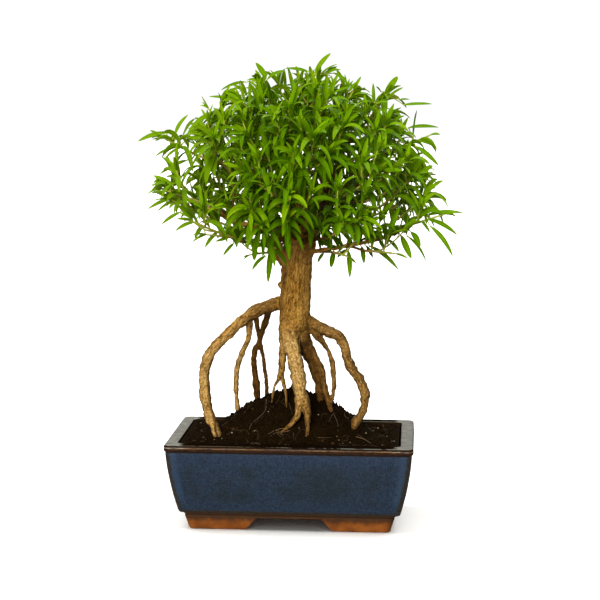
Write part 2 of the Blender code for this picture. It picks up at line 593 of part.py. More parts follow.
def make_wood(frames):
    verts, faces = tube(TRUNK, 12)
    wood = mesh_object("trunk_roots_branches", verts, faces, BARK, 0.8)
    others = [mesh_object("w_" + name, v, f) for name, v, f in root_pieces()]
    for a, b, r0, r1 in KNOBS:
        a, b = np.array(a, float), np.array(b, float)
        v, f = tube([(*a, r0), (*((a + b) / 2), (r0 + r1) / 2 + 0.3), (*b, r1)], 8)
        others.append(mesh_object("w_knob", v, f))
    paths, twigs = limb_paths(frames)
    for k, path in enumerate(paths):
        v, f = tube(path, 6, turn=0.37 * k)
        others.append(mesh_object("w_limb", v, f))
    for k, path in enumerate(twigs):
        v, f = tube(path, 4, turn=0.53 * k)
        others.append(mesh_object("w_twig", v, f))
    combine(wood, others, "UNION")
    wood.data.shade_smooth()
    wood.data.set_sharp_from_angle(angle=math.radians(50))
    return wood


# ---------------------------------------------------------------------------
# leafy shoots: a square green stem with pairs of leaves, each pair turned a
# quarter from the last, grown out of the stem's own side faces
# ---------------------------------------------------------------------------
def leaf_spine(root, out, length, droop, steps):
    """Points and directions of a midrib that starts along out and arches down under its weight."""
    points, ways = [np.array(root, float)], [unit(out)]
    d = unit(out)
    for _ in range(steps):
        level = math.sqrt(max(0.0, 1.0 - d[2] * d[2]))
        d = unit(d - AXIS_Z * (droop / steps) * (0.25 + 0.75 * level))
        points.append(points[-1] + d * (length / steps))
        ways.append(d)
    return points, ways


def leaf_solid(quad, out, up, length, width, droop, thick=LEAF_THICK):
    """Corners and triangles of one leaf grown from a face of the stem; quad runs low-left, low-right, high-right, high-left."""
    quad = [np.array(q, float) for q in quad]
    root = sum(quad) / 4
    points, ways = leaf_spine(root, out, length, droop, 5)
    mid, d = points[2], ways[2]
    across = unit(quad[1] - quad[0])
    across = unit(across - d * np.dot(across, d))
    face = unit(np.cross(across, d))
    if np.dot(face, up) < 0:
        face = -face
    left = mid - across * width / 2 + face * 0.25
    right = mid + across * width / 2 + face * 0.25
    keel = mid - face * thick
    tip = points[-1]
    verts = quad + [left, right, keel, tip]
    # 0 low-left, 1 low-right, 2 high-right, 3 high-left, 4 left, 5 right, 6 keel, 7 tip
    faces = [(3, 2, 5), (3, 5, 4), (2, 1, 5), (1, 6, 5), (1, 0, 6), (0, 4, 6), (0, 3, 4), (4, 5, 7), (5, 6, 7), (6, 4, 7)]
    return verts, faces


class Crowd:
    """What already stands in the crown, to keep a new leaf or stem clear of it."""

    def __init__(self):
        self.trees, self.low, self.high = [], np.zeros((0, 3)), np.zeros((0, 3))

    def add(self, verts, faces):
        v = np.array(verts)
        self.trees.append(BVHTree.FromPolygons([Vector(p) for p in v], faces))
        self.low = np.vstack([self.low, v.min(axis=0)])
        self.high = np.vstack([self.high, v.max(axis=0)])

    def hits(self, verts, faces, margin=0.0):
        if not self.trees:
            return False
        v = np.array(verts)
        near = np.nonzero(
            np.all(self.low <= v.max(axis=0) + margin, axis=1) & np.all(self.high >= v.min(axis=0) - margin, axis=1)
        )[0]
        if not len(near):
            return False
        tree = BVHTree.FromPolygons([Vector(p) for p in v], faces)
        return any(self.trees[n].overlap(tree) for n in near)


def swollen(verts, amount):
    """The same corners pushed away from their middle line, so that a clear test leaves a gap."""
    v = [np.array(p) for p in verts]
    middle = (v[4] + v[5] + v[6]) / 3
    out = list(v)
    for k in (4, 5, 6):
        out[k] = v[k] + unit(v[k] - middle) * amount
    axis = unit(v[7] - middle)
    out[7] = v[7] + axis * amount
    root = sum(v[:4]) / 4
    for k in range(4):
        out[k] = v[k] + unit(v[7] - root) * 0.9 + unit(v[k] - root) * amount * 0.4
    return out


PAIRS = 5


def make_shoot(index, frame, crowd):
    base, bend, tip, length = frame
    fractions = [0.0, 0.16, 0.21, 0.38, 0.43, 0.59, 0.64, 0.78, 0.83, 0.93, 0.965, 1.0]
    centres = [bezier(base, bend, tip, t) for t in fractions]
    way = [unit(bezier(base, bend, tip, min(1, t + 0.02)) - bezier(base, bend, tip, max(0, t - 0.02))) for t in fractions]
    side = any_side(way[0])
    spin = math.pi * hash01(index, 7)
    rings, sides = [], []
    for c, t, f in zip(centres, way, fractions):
        side = unit(side - t * np.dot(side, t))
        over = np.cross(t, side)
        s1 = math.cos(spin) * side + math.sin(spin) * over
        s2 = np.cross(t, s1)
        r = STEM_RADIUS * (1.0 - 0.35 * f) if f < 1.0 else 0.22
        rings.append([c + r * (a * s1 + b * s2) for a, b in ((1, 1), (-1, 1), (-1, -1), (1, -1))])
        sides.append((s1, s2))
    verts = [v for ring in rings for v in ring]
    faces = []
    # the leaves sit on the short second, fourth, ... rows of stem faces
    leaf_rows = [1, 3, 5, 7, 9]
    stem_verts, stem_faces = list(verts), []
    for k in range(len(rings) - 1):
        for i in range(4):
            j = (i + 1) % 4
            stem_faces.append((k * 4 + i, k * 4 + j, (k + 1) * 4 + j, (k + 1) * 4 + i))
    stem_faces.append((3, 2, 1, 0))
    last = (len(rings) - 1) * 4
    stem_faces.append((last, last + 1, last + 2, last + 3))
    leaves = {}
    own = Crowd()
    for p, k in enumerate(leaf_rows):
        s1, s2 = sides[k]
        # face i of the square stem: 0 looks along s2, 1 along -s1, 2 along -s2, 3 along s1
        faces_used = ((0, s2), (2, -s2)) if p % 2 == 0 else ((1, -s1), (3, s1))
        for i, outward in faces_used:
            j = (i + 1) % 4
            quad = [verts[k * 4 + i], verts[k * 4 + j], verts[(k + 1) * 4 + j], verts[(k + 1) * 4 + i]]
            age = 1.0 - p / (PAIRS - 1)
            seed = index * 40 + k * 4 + i
            for attempt in range(16):
                spread = math.radians(42 + 32 * age + 10 * (hash01(seed, attempt) - 0.5))
                swing = 0.0 if attempt == 0 else (hash01(seed, attempt, 1) - 0.5) * 0.9
                across = np.cross(way[k], outward)
                out = unit(math.cos(spread) * way[k] + math.sin(spread) * unit(outward + across * swing))
                size = LEAF_LENGTH * (0.62 + 0.40 * math.sin(math.pi * (0.18 + 0.60 * age))) * (0.92 + 0.16 * hash01(seed, 5))
                if attempt > 5:
                    size *= 1.0 - 0.05 * (attempt - 5)
                droop = 0.75 + 0.65 * age + 0.5 * (hash01(seed, attempt, 2) - 0.5)
                wide = LEAF_WIDTH * (0.8 + 0.25 * age) * (0.9 + 0.2 * hash01(seed, 6))
                lv, lf = leaf_solid(quad, out, way[k], size, wide, droop)
                test = swollen(lv, 0.35)
                if crowd.hits(test, lf) or own.hits(test, lf):
                    continue
                leaves[(k, i)] = (lv, lf)
                own.add(lv, lf)
                break
    # the stem with its leaf faces opened, then each leaf sewn to the four corners of its opening
    out_verts, out_faces = list(stem_verts), []
    for n, face in enumerate(stem_faces):
        row, i = divmod(n, 4)
        if n < 4 * (len(rings) - 1) and (row, i) in leaves:
            lv, lf = leaves[(row, i)]
            start = len(out_verts)
            out_verts.extend(lv[4:])
            remap = {0: face[0], 1: face[1], 2: face[2], 3: face[3]}
            remap.update({m: start + m - 4 for m in range(4, 8)})
            out_faces.extend(tuple(remap[m] for m in tri) for tri in lf)
        else:
            out_faces.append(face)
    return out_verts, out_faces, stem_verts, stem_faces, leaves


def make_shoots(frames, wood):
    crowd = Crowd()
    work = bmesh.new()
    work.from_mesh(wood.data)
    bmesh.ops.triangulate(work, faces=work.faces)
    wood_verts = [np.array(v.co) / MM for v in work.verts]
    wood_faces = [tuple(v.index for v in f.verts) for f in work.faces]
    work.free()
    crowd.add(wood_verts, wood_faces)
    count = 0
    # the stems first, so that no leaf is put where another shoot's stem will pass
    stems = []
    for index, frame in enumerate(frames):
        made = None
        for attempt in range(24):
            base, bend, tip, length = frame
            turn = np.array([hash01(index, attempt, 11) - 0.5, hash01(index, attempt, 12) - 0.5, hash01(index, attempt, 13) - 0.3])
            shift = turn * (0.0 if attempt == 0 else 1.2 * attempt)
            tried = (base, bend, tip + shift, length)
            _, _, sv, sf, _ = make_shoot(index, tried, EMPTY)
            fat = fatten(sv, 0.4)
            if not crowd.hits(fat, sf):
                made = tried
                break
        if made is None:
            print("no room for shoot", index)
            continue
        stems.append((index, made))
        crowd.add(sv, sf)
    for number, (index, frame) in enumerate(stems):
        others = without(crowd, 1 + number)
        verts, faces, _, _, leaves = make_shoot(index, frame, others)
        shade = hash01(index, 21)
        mesh_object(
            "shoot_%02d" % (number + 1), verts, faces,
            (0.075 + 0.03 * shade, 0.215 + 0.05 * shade, 0.012), 0.45, smooth=25,
        )
        for lv, lf in leaves.values():
            crowd.add(lv, lf)
        count += len(leaves)
    return len(stems), count


def fatten(verts, amount):
    rings = [verts[k:k + 4] for k in range(0, len(verts), 4)]
    out = []
    for n, ring in enumerate(rings):
        c = sum(ring) / 4
        push = 0.0
        out.extend([p + unit(p - c) * amount for p in ring])
    # the foot keeps nearly its own size, because its twig ends just below it
    first = sum(rings[0]) / 4
    for k in range(4):
        out[k] = rings[0][k] + unit(rings[0][k] - first) * 0.1
    return out


class EmptyCrowd:
    @staticmethod
    def hits(*_args):
        return True


EMPTY = EmptyCrowd()


def without(crowd, skip):
    """The crowd seen by one shoot: everything but its own stem."""
    seen = Crowd()
    keep = [n for n in range(len(crowd.trees)) if n != skip]
    seen.trees = [crowd.trees[n] for n in keep]
    seen.low, seen.high = crowd.low[keep], crowd.high[keep]
    return seen


# ---------------------------------------------------------------------------
# the whole object
# ---------------------------------------------------------------------------
def main():
    make_pot()
    make_screen("drain_screen_left", -DRAIN_X)
    make_screen("drain_screen_right", DRAIN_X)
    frames = shoot_frames()
    wood = make_wood(frames)

    soil = make_soil()
    cutters = [mesh_object("s_" + name, v, f) for name, v, f in root_pieces(GAP, GAP)]
    for sign in (-1, 1):
        half = SCREEN_SIDE / 2 + GAP
        top = FLOOR + GAP + SCREEN_THICK + GAP
        square = [(-half, -half), (half, -half), (half, half), (-half, half)]
        v, f = loft([[(sign * DRAIN_X + x, y, z) for x, y in square] for z in (FLOOR - 1.0, top)])
        cutters.append(mesh_object("s_screen", v, f))
    combine(soil, cutters, "DIFFERENCE")
    soil.data.shade_smooth()
    soil.data.set_sharp_from_angle(angle=math.radians(40))

    shoots, leaves = make_shoots(frames, wood)

    # origin: the middle of the footprint of the whole object
    low, high = np.full(3, 1e9), np.full(3, -1e9)
    parts = [o for o in bpy.data.objects if o.type == "MESH"]
    for obj in parts:
        for corner in obj.data.vertices:
            low = np.minimum(low, corner.co)
            high = np.maximum(high, corner.co)
    root = bpy.data.objects.new("bonsai", None)
    bpy.context.scene.collection.objects.link(root)
    root.location = (-(low[0] + high[0]) / 2, -(low[1] + high[1]) / 2, -low[2])
    for obj in parts:
        obj.parent = root
    print("shoots", shoots, "leaves", leaves, "box mm", (high - low) / MM, "shift", tuple(root.location))


main()
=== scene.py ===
"""The looks of the serissa bonsai: bark, soil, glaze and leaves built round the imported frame.

Lengths are millimetres about the middle of the pot, on the surface that it stands on
(X right along the pot, Y away from the front, Z up), and become metres where a mesh is made.
"""

import math

import bmesh
import bpy
import numpy as np
from mathutils import Matrix, Vector, noise


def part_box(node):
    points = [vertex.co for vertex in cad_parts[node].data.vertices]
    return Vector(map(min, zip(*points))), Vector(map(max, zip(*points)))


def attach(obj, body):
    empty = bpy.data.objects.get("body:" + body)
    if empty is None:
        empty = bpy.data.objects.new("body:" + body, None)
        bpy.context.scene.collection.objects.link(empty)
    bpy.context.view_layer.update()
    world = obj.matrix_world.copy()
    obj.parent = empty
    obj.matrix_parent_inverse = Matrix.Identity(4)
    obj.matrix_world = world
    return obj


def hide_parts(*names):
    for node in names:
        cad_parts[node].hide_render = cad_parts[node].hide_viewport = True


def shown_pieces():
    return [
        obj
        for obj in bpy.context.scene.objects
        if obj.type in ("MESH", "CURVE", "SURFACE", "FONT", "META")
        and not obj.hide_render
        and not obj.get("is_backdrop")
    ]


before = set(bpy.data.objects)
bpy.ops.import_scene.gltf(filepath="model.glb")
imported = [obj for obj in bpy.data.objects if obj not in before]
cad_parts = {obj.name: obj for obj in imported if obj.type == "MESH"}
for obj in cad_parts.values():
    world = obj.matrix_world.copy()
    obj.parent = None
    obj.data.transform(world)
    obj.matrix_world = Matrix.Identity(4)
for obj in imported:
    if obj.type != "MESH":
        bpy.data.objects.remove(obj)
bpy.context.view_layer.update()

MM = 0.001
_lo, _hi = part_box("pot")
SHIFT = np.array([(_lo.x + _hi.x) / 2, (_lo.y + _hi.y) / 2, 0.0]) / MM

AXIS_Z = np.array([0.0, 0.0, 1.0])
GOLDEN = math.pi * (3.0 - math.sqrt(5.0))
TAU = 2 * math.pi
ROOT = "root"


# ---------------------------------------------------------------------------
# small helpers
# ---------------------------------------------------------------------------
def unit(v):
    v = np.asarray(v, float)
    n = np.linalg.norm(v)
    return v / n if n > 1e-9 else np.array([0.0, 0.0, 1.0])


def any_side(d):
    side = np.cross(d, AXIS_Z)
    if np.linalg.norm(side) < 0.2:
        side = np.cross(d, [0.0, 1.0, 0.0])
    return unit(side)


def hash01(*keys):
    """A repeatable number from 0 to 1 for a set of whole numbers."""
    x = 0.0
    for i, k in enumerate(keys):
        x += math.sin((k + 1.37) * (12.9898 + 7.233 * i)) * 43758.5453
    return x - math.floor(x)


def smooth_path(points, steps):
    """Points (x, y, z, radius) joined by a smooth curve with this many steps between each two."""
    p = np.asarray(points, float)
    ends = np.vstack([2 * p[0] - p[1], p, 2 * p[-1] - p[-2]])
    out = []
    for i in range(len(p) - 1):
        a, b, c, d = ends[i], ends[i + 1], ends[i + 2], ends[i + 3]
        for k in range(steps):
            t = k / steps
            out.append(
                0.5 * (2 * b + (c - a) * t + (2 * a - 5 * b + 4 * c - d) * t * t + (3 * b - a - 3 * c + d) * t ** 3)
            )
    out.append(p[-1])
    return np.array(out)


def bezier(a, b, c, t):
    return a * (1 - t) ** 2 + b * 2 * t * (1 - t) + c * t * t


def turned(v, axis, angle):
    """v turned about a unit axis."""
    c, s = math.cos(angle), math.sin(angle)
    return v * c + np.cross(axis, v) * s + axis * np.dot(axis, v) * (1 - c)


class Bag:
    """Corners and faces gathered for one mesh, with numbers kept at each corner."""

    def __init__(self, *attributes):
        self.verts, self.quads, self.tris = [], [], []
        self.quad_mat, self.tri_mat = [], []
        self.values = {name: [] for name in attributes}
        self.count = 0

    def add(self, verts, quads=None, tris=None, mat=0, **values):
        verts = np.asarray(verts, float).reshape(-1, 3)
        n = len(verts)
        self.verts.append(verts)
        if quads is not None and len(quads):
            q = np.asarray(quads, np.int64) + self.count
            self.quads.append(q)
            self.quad_mat.append(np.full(len(q), mat))
        if tris is not None and len(tris):
            t = np.asarray(tris, np.int64) + self.count
            self.tris.append(t)
            self.tri_mat.append(np.full(len(t), mat))
        for name, store in self.values.items():
            v = np.asarray(values.get(name, 0.0), float)
            store.append(np.broadcast_to(v, (n,)) if v.ndim < 2 else v)
        self.count += n

    def make(self, name, materials, sharp=None):
        verts = (np.concatenate(self.verts) + SHIFT) * MM
        groups, mats = [], []
        if self.quads:
            groups.append(np.concatenate(self.quads))
            mats.append(np.concatenate(self.quad_mat))
        if self.tris:
            groups.append(np.concatenate(self.tris))
            mats.append(np.concatenate(self.tri_mat))
        loops = np.concatenate([g.ravel() for g in groups]).astype(np.int32)
        sizes = np.concatenate([np.full(len(g), g.shape[1]) for g in groups])
        starts = np.concatenate([[0], np.cumsum(sizes)[:-1]]).astype(np.int32)
        mesh = bpy.data.meshes.new(name)
        mesh.vertices.add(len(verts))
        mesh.vertices.foreach_set("co", verts.astype(np.float32).ravel())
        mesh.loops.add(len(loops))
        mesh.loops.foreach_set("vertex_index", loops)
        mesh.polygons.add(len(sizes))
        mesh.polygons.foreach_set("loop_start", starts)
        mesh.polygons.foreach_set("material_index", np.concatenate(mats).astype(np.int32))
        mesh.update(calc_edges=True)
        for key, store in self.values.items():
            data = np.concatenate(store).astype(np.float32)
            attribute = mesh.attributes.new(key, "FLOAT", "POINT")
            attribute.data.foreach_set("value", data)
        mesh.shade_smooth()
        if sharp is not None:
            mesh.set_sharp_from_angle(angle=math.radians(sharp))
        for mat in materials:
            mesh.materials.append(mat)
        obj = bpy.data.objects.new(name, mesh)
        bpy.context.scene.collection.objects.link(obj)
        return obj


def tube_parts(path, sides, caps=True, squash=None):
    """Corners, quads and cap triangles of a round limb along path (x, y, z, radius)."""
    path = np.asarray(path, float)
    centre, radius = path[:, :3], path[:, 3]
    tangents = np.gradient(centre, axis=0)
    side = any_side(unit(tangents[0]))
    angles = TAU * np.arange(sides) / sides
    rings = []
    for c, r, t in zip(centre, radius, tangents):
        t = unit(t)
        side = unit(side - t * np.dot(side, t))
        over = np.cross(t, side)
        rings.append(c + r * (np.outer(np.cos(angles), side) + np.outer(np.sin(angles), over)))
    verts = np.concatenate(rings)
    n, rows = sides, len(path)
    k, i = np.meshgrid(np.arange(rows - 1), np.arange(n), indexing="ij")
    k, i = k.ravel(), i.ravel()
    j = (i + 1) % n
    quads = np.stack([k * n + i, k * n + j, (k + 1) * n + j, (k + 1) * n + i], axis=1)
    tris = []
    if caps:
        verts = np.vstack([verts, centre[:1], centre[-1:]])
        low, high = rows * n, rows * n + 1
        last = (rows - 1) * n
        for a in range(n):
            b = (a + 1) % n
            tris.append((b, a, low))
            tris.append((last + a, last + b, high))
    return verts, quads, np.array(tris, int)


# ---------------------------------------------------------------------------
# material helpers
# ---------------------------------------------------------------------------
def lin(r, g, b):
    """A colour given as 0 to 255 on screen, in the linear values that shaders take."""
    out = []
    for c in (r, g, b):
        c = c / 255.0
        out.append(c / 12.92 if c <= 0.04045 else ((c + 0.055) / 1.055) ** 2.4)
    return (*out, 1.0)


class Paint:
    """One node material under construction."""

    def __init__(self, name):
        self.mat = bpy.data.materials.new(name)
        self.mat.use_nodes = True
        self.tree = self.mat.node_tree
        self.tree.nodes.clear()
        self.out = self.tree.nodes.new("ShaderNodeOutputMaterial")
        self.shader = self.tree.nodes.new("ShaderNodeBsdfPrincipled")
        self.tree.links.new(self.shader.outputs[0], self.out.inputs[0])

    def put(self, socket, value):
        if isinstance(value, bpy.types.NodeSocket):
            self.tree.links.new(value, socket)
        else:
            socket.default_value = value

    def set(self, **values):
        for key, value in values.items():
            self.put(self.shader.inputs[key.replace("_", " ")], value)

    def add(self, kind, inputs=None, out=0, **props):
        node = self.tree.nodes.new(kind)
        for key, value in props.items():
            setattr(node, key, value)
        for key, value in (inputs or {}).items():
            self.put(node.inputs[key], value)
        return node.outputs[out]

    def math(self, operation, a, b=0.0, c=0.0, clamp=False):
        node = self.tree.nodes.new("ShaderNodeMath")
        node.operation, node.use_clamp = operation, clamp
        for k, value in enumerate((a, b, c)):
            if len(node.inputs) > k:
                self.put(node.inputs[k], value)
        return node.outputs[0]

    def mix(self, factor, a, b):
        node = self.tree.nodes.new("ShaderNodeMix")
        node.data_type = "RGBA"
        self.put(node.inputs[0], factor)
        self.put(node.inputs[6], a)
        self.put(node.inputs[7], b)
        return node.outputs[2]

    def step(self, value, low, high, smooth=True):
        """0 below low, 1 above high; turned round if low is above high."""
        node = self.tree.nodes.new("ShaderNodeMapRange")
        node.interpolation_type = "SMOOTHSTEP" if smooth else "LINEAR"
        flip = low > high
        a, b = (high, low) if flip else (low, high)
        self.put(node.inputs["Value"], value)
        node.inputs["From Min"].default_value = a
        node.inputs["From Max"].default_value = b
        node.inputs["To Min"].default_value = 1.0 if flip else 0.0
        node.inputs["To Max"].default_value = 0.0 if flip else 1.0
        return node.outputs["Result"]

    def attribute(self, name, vector=False):
        node = self.tree.nodes.new("ShaderNodeAttribute")
        node.attribute_name = name
        return node.outputs["Vector" if vector else "Fac"]

    def place(self):
        """The point on the surface, in millimetres about the middle of the pot."""
        coord = self.tree.nodes.new("ShaderNodeTexCoord").outputs["Object"]
        node = self.tree.nodes.new("ShaderNodeVectorMath")
        node.operation = "MULTIPLY_ADD"
        self.put(node.inputs[0], coord)
        node.inputs[1].default_value = (1000.0, 1000.0, 1000.0)
        node.inputs[2].default_value = (-SHIFT[0], -SHIFT[1], 0.0)
        return node.outputs[0]

    def scaled(self, vector, x, y, z):
        node = self.tree.nodes.new("ShaderNodeVectorMath")
        node.operation = "MULTIPLY"
        self.put(node.inputs[0], vector)
        node.inputs[1].default_value = (x, y, z)
        return node.outputs[0]

    def noise(self, vector, scale, detail=3.0, rough=0.55, distortion=0.0):
        node = self.tree.nodes.new("ShaderNodeTexNoise")
        self.put(node.inputs["Vector"], vector)
        node.inputs["Scale"].default_value = scale
        node.inputs["Detail"].default_value = detail
        node.inputs["Roughness"].default_value = rough
        node.inputs["Distortion"].default_value = distortion
        return node.outputs[0]

    def cells(self, vector, scale, feature="F1", out="Distance", random=1.0):
        node = self.tree.nodes.new("ShaderNodeTexVoronoi")
        node.feature = feature
        self.put(node.inputs["Vector"], vector)
        node.inputs["Scale"].default_value = scale
        node.inputs["Randomness"].default_value = random
        return node.outputs[out]

    def bump(self, height, strength, distance, normal=None):
        node = self.tree.nodes.new("ShaderNodeBump")
        node.inputs["Strength"].default_value = strength
        node.inputs["Distance"].default_value = distance
        self.put(node.inputs["Height"], height)
        if normal is not None:
            self.put(node.inputs["Normal"], normal)
        return node.outputs[0]

    def xyz(self, vector):
        node = self.tree.nodes.new("ShaderNodeSeparateXYZ")
        self.put(node.inputs[0], vector)
        return node.outputs[0], node.outputs[1], node.outputs[2]


def finish_piece(obj, slot, *replaced):
    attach(obj, ROOT)
    if replaced:
        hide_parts(*replaced)
    return obj


# ---------------------------------------------------------------------------
# camera, floor and light
# ---------------------------------------------------------------------------
CAM_FOCAL_PX, CAM_YAW, CAM_PITCH = 1466.3, math.radians(-4.486), math.radians(7.66)
CAM_AT = np.array([74.71, -897.25, 259.13])


def camera_axes():
    cy, sy = math.cos(CAM_YAW), math.sin(CAM_YAW)
    cp, sp = math.cos(CAM_PITCH), math.sin(CAM_PITCH)
    forward = np.array([sy * cp, cy * cp, -sp])
    right = np.array([cy, -sy, 0.0])
    return forward, right, np.cross(right, forward)


def photo_pixels(points):
    """Where points fall in the photograph's frame, as seen by the fitted camera."""
    forward, right, up = camera_axes()
    d = np.atleast_2d(points) - CAM_AT
    depth = d @ forward
    return 300 + CAM_FOCAL_PX * (d @ right) / depth, 300 - CAM_FOCAL_PX * (d @ up) / depth


def seen_at(u, v, depth):
    """The point that the photograph shows at pixel (u, v), on the upright plane Y = depth."""
    forward, right, up = camera_axes()
    d = forward + right * ((u - 300) / CAM_FOCAL_PX) - up * ((v - 300) / CAM_FOCAL_PX)
    return CAM_AT + d * (depth - CAM_AT[1]) / d[1]


def make_camera():
    data = bpy.data.cameras.new("camera")
    data.sensor_width = 36.0
    data.lens = CAM_FOCAL_PX / 600.0 * 36.0
    data.clip_start, data.clip_end = 0.05, 20.0
    cam = bpy.data.objects.new("camera", data)
    bpy.context.scene.collection.objects.link(cam)
    forward, right, up = camera_axes()
    rot = Matrix((right, up, -forward)).transposed().to_4x4()
    cam.matrix_world = Matrix.Translation(Vector((CAM_AT + SHIFT) * MM)) @ rot
    bpy.context.scene.camera = cam


def soft_sun(name, source, power, spread, colour=(1, 1, 1)):
    """A broad light far away in the direction of source."""
    data = bpy.data.lights.new(name, "SUN")
    data.energy = power
    data.angle = math.radians(spread)
    data.color = colour
    obj = bpy.data.objects.new(name, data)
    bpy.context.scene.collection.objects.link(obj)
    obj.location = Vector(source).normalized() * 1.5
    obj.rotation_mode = "QUATERNION"
    obj.rotation_quaternion = (-Vector(source)).to_track_quat("-Z", "Y")
    return obj


def make_studio():
    scene = bpy.context.scene
    world = bpy.data.worlds.new("studio")
    scene.world = world
    world.use_nodes = True
    tree = world.node_tree
    back = tree.nodes["Background"]
    back.inputs["Color"].default_value = (1.0, 1.0, 1.0, 1.0)
    # a white backdrop for the eye, and a dim room that is lighter overhead for everything else
    path = tree.nodes.new("ShaderNodeLightPath")
    way = tree.nodes.new("ShaderNodeTexCoord")
    axes = tree.nodes.new("ShaderNodeSeparateXYZ")
    tree.links.new(way.outputs["Generated"], axes.inputs[0])
    room = tree.nodes.new("ShaderNodeMapRange")
    room.interpolation_type = "SMOOTHSTEP"
    tree.links.new(axes.outputs["Z"], room.inputs["Value"])
    room.inputs["From Min"].default_value = -0.20
    room.inputs["From Max"].default_value = 0.12
    room.inputs["To Min"].default_value = ROOM_LOW
    room.inputs["To Max"].default_value = ROOM_HIGH
    shine = tree.nodes.new("ShaderNodeMath")
    shine.operation = "MULTIPLY_ADD"
    tree.links.new(path.outputs["Is Glossy Ray"], shine.inputs[0])
    shine.inputs[1].default_value = ROOM_SHINE - 1.0
    shine.inputs[2].default_value = 1.0
    lit = tree.nodes.new("ShaderNodeMath")
    lit.operation = "MULTIPLY"
    tree.links.new(room.outputs["Result"], lit.inputs[0])
    tree.links.new(shine.outputs[0], lit.inputs[1])
    pick = tree.nodes.new("ShaderNodeMix")
    pick.data_type = "FLOAT"
    tree.links.new(path.outputs["Is Camera Ray"], pick.inputs[0])
    tree.links.new(lit.outputs[0], pick.inputs[2])
    pick.inputs[3].default_value = 1.05
    tree.links.new(pick.outputs[0], back.inputs["Strength"])
    scene.view_settings.view_transform = "Standard"
    scene.view_settings.look = "None"
    scene.view_settings.exposure = 0.0
    scene.view_settings.gamma = 1.0
    mesh = bpy.data.meshes.new("floor")
    far = 9.0
    mesh.from_pydata([(-far, -far, 0), (far, -far, 0), (far, far, 0), (-far, far, 0)], [], [(0, 1, 2, 3)])
    floor = bpy.data.objects.new("floor", mesh)
    scene.collection.objects.link(floor)
    paint = Paint("floor_paper")
    grain = paint.noise(paint.place(), 0.02, 2.0)
    paint.set(Base_Color=paint.mix(grain, (0.97, 0.97, 0.97, 1), (0.99, 0.99, 0.99, 1)), Roughness=0.95)
    paint.shader.inputs["Specular IOR Level"].default_value = 0.1
    mesh.materials.append(paint.mat)
    # the paper takes the shadow, but doesn't light the object from below
    floor.visible_diffuse = False
    floor.visible_glossy = False
    floor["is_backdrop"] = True
    key = soft_sun("key", (-0.30, -1.0, 0.36), 3.5, 30, (1.0, 0.985, 0.95))
    fill = soft_sun("fill", (0.40, -1.0, 0.42), 0.72, 40, (0.98, 0.99, 1.0))
    top = soft_sun("top", (0.0, -0.12, 1.0), 0.98, 40)
    back = soft_sun("back", (0.0, 1.0, 1.15), 1.65, 40, (1.0, 0.975, 0.91))
    # the paper is left out of these and has broad lights of its own, from above on either side and a faint low one
    paper = bpy.data.collections.new("paper")
    paper.objects.link(floor)
    for name, source, power in (("paper_left", (-0.46, 0.02, 1.0), 3.3), ("paper_right", (0.42, 0.0, 1.0), 2.9), ("paper_low", (0.0, -1.0, 0.42), 0.6)):
        lamp = soft_sun(name, source, power, 52, (1.0, 0.985, 0.94))
        lamp.light_linking.receiver_collection = paper
    others = bpy.data.collections.new("not_paper")
    others.objects.link(floor)
    for lamp in (key, fill, top, back):
        lamp.light_linking.receiver_collection = others
    others.collection_objects[0].light_linking.link_state = "EXCLUDE"


ROOM_LOW, ROOM_HIGH, ROOM_SHINE = 0.07, 0.19, 4.2


# ---------------------------------------------------------------------------
# pot
# ---------------------------------------------------------------------------
RIM_LENGTH, RIM_DEPTH, RIM_TOP, RIM_BAND, RIM_LAND = 151.0, 85.0, 54.5, 4.3, 8.0
BODY_TOP_LENGTH, BODY_TOP_DEPTH = 149.4, 83.2
BODY_LOW_LENGTH, BODY_LOW_DEPTH, BODY_LOW = 136.0, 71.2, 11.0
BASE_TOP_LENGTH, BASE_TOP_DEPTH = 130.0, 67.0
FOOT_LENGTH, FOOT_DEPTH, FOOT_HEIGHT = 123.6, 63.0, 8.0
BELLY = 0.9  # how far the walls bow out half way up
FLOOR = 14.0
DRAIN_X, DRAIN_RADIUS = 32.0, 5.5


def rounded_outline(half_x, half_y, radius, z, corner=8, along_x=40, along_y=24):
    out = []
    corners = ((1, 1, 0), (-1, 1, 90), (-1, -1, 180), (1, -1, 270))
    for index, (sx, sy, start) in enumerate(corners):
        cx, cy = sx * (half_x - radius), sy * (half_y - radius)
        for k in range(corner + 1):
            a = math.radians(start + 90.0 * k / corner)
            out.append((cx + radius * math.cos(a), cy + radius * math.sin(a), z))
        extra = along_x if index in (0, 2) else along_y
        nx, ny, nstart = corners[(index + 1) % 4]
        end = (nx * (half_x - radius) + radius * math.cos(math.radians(nstart)),
               ny * (half_y - radius) + radius * math.sin(math.radians(nstart)))
        first = out[-1]
        for k in range(1, extra + 1):
            t = k / (extra + 1)
            out.append((first[0] + (end[0] - first[0]) * t, first[1] + (end[1] - first[1]) * t, z))
    return out


def loft_mesh(name, rings):
    n = len(rings[0])
    verts = [(np.array(v) + SHIFT) * MM for ring in rings for v in ring]
    faces = []
    for k in range(len(rings) - 1):
        for i in range(n):
            j = (i + 1) % n
            faces.append((k * n + i, k * n + j, (k + 1) * n + j, (k + 1) * n + i))
    faces.append(tuple(reversed(range(n))))
    faces.append(tuple(range((len(rings) - 1) * n, len(rings) * n)))
    mesh = bpy.data.meshes.new(name)
    mesh.from_pydata([tuple(v) for v in verts], [], faces)
    work = bmesh.new()
    work.from_mesh(mesh)
    bmesh.ops.recalc_face_normals(work, faces=work.faces)
    work.to_mesh(mesh)
    work.free()
    obj = bpy.data.objects.new(name, mesh)
    bpy.context.scene.collection.objects.link(obj)
    return obj


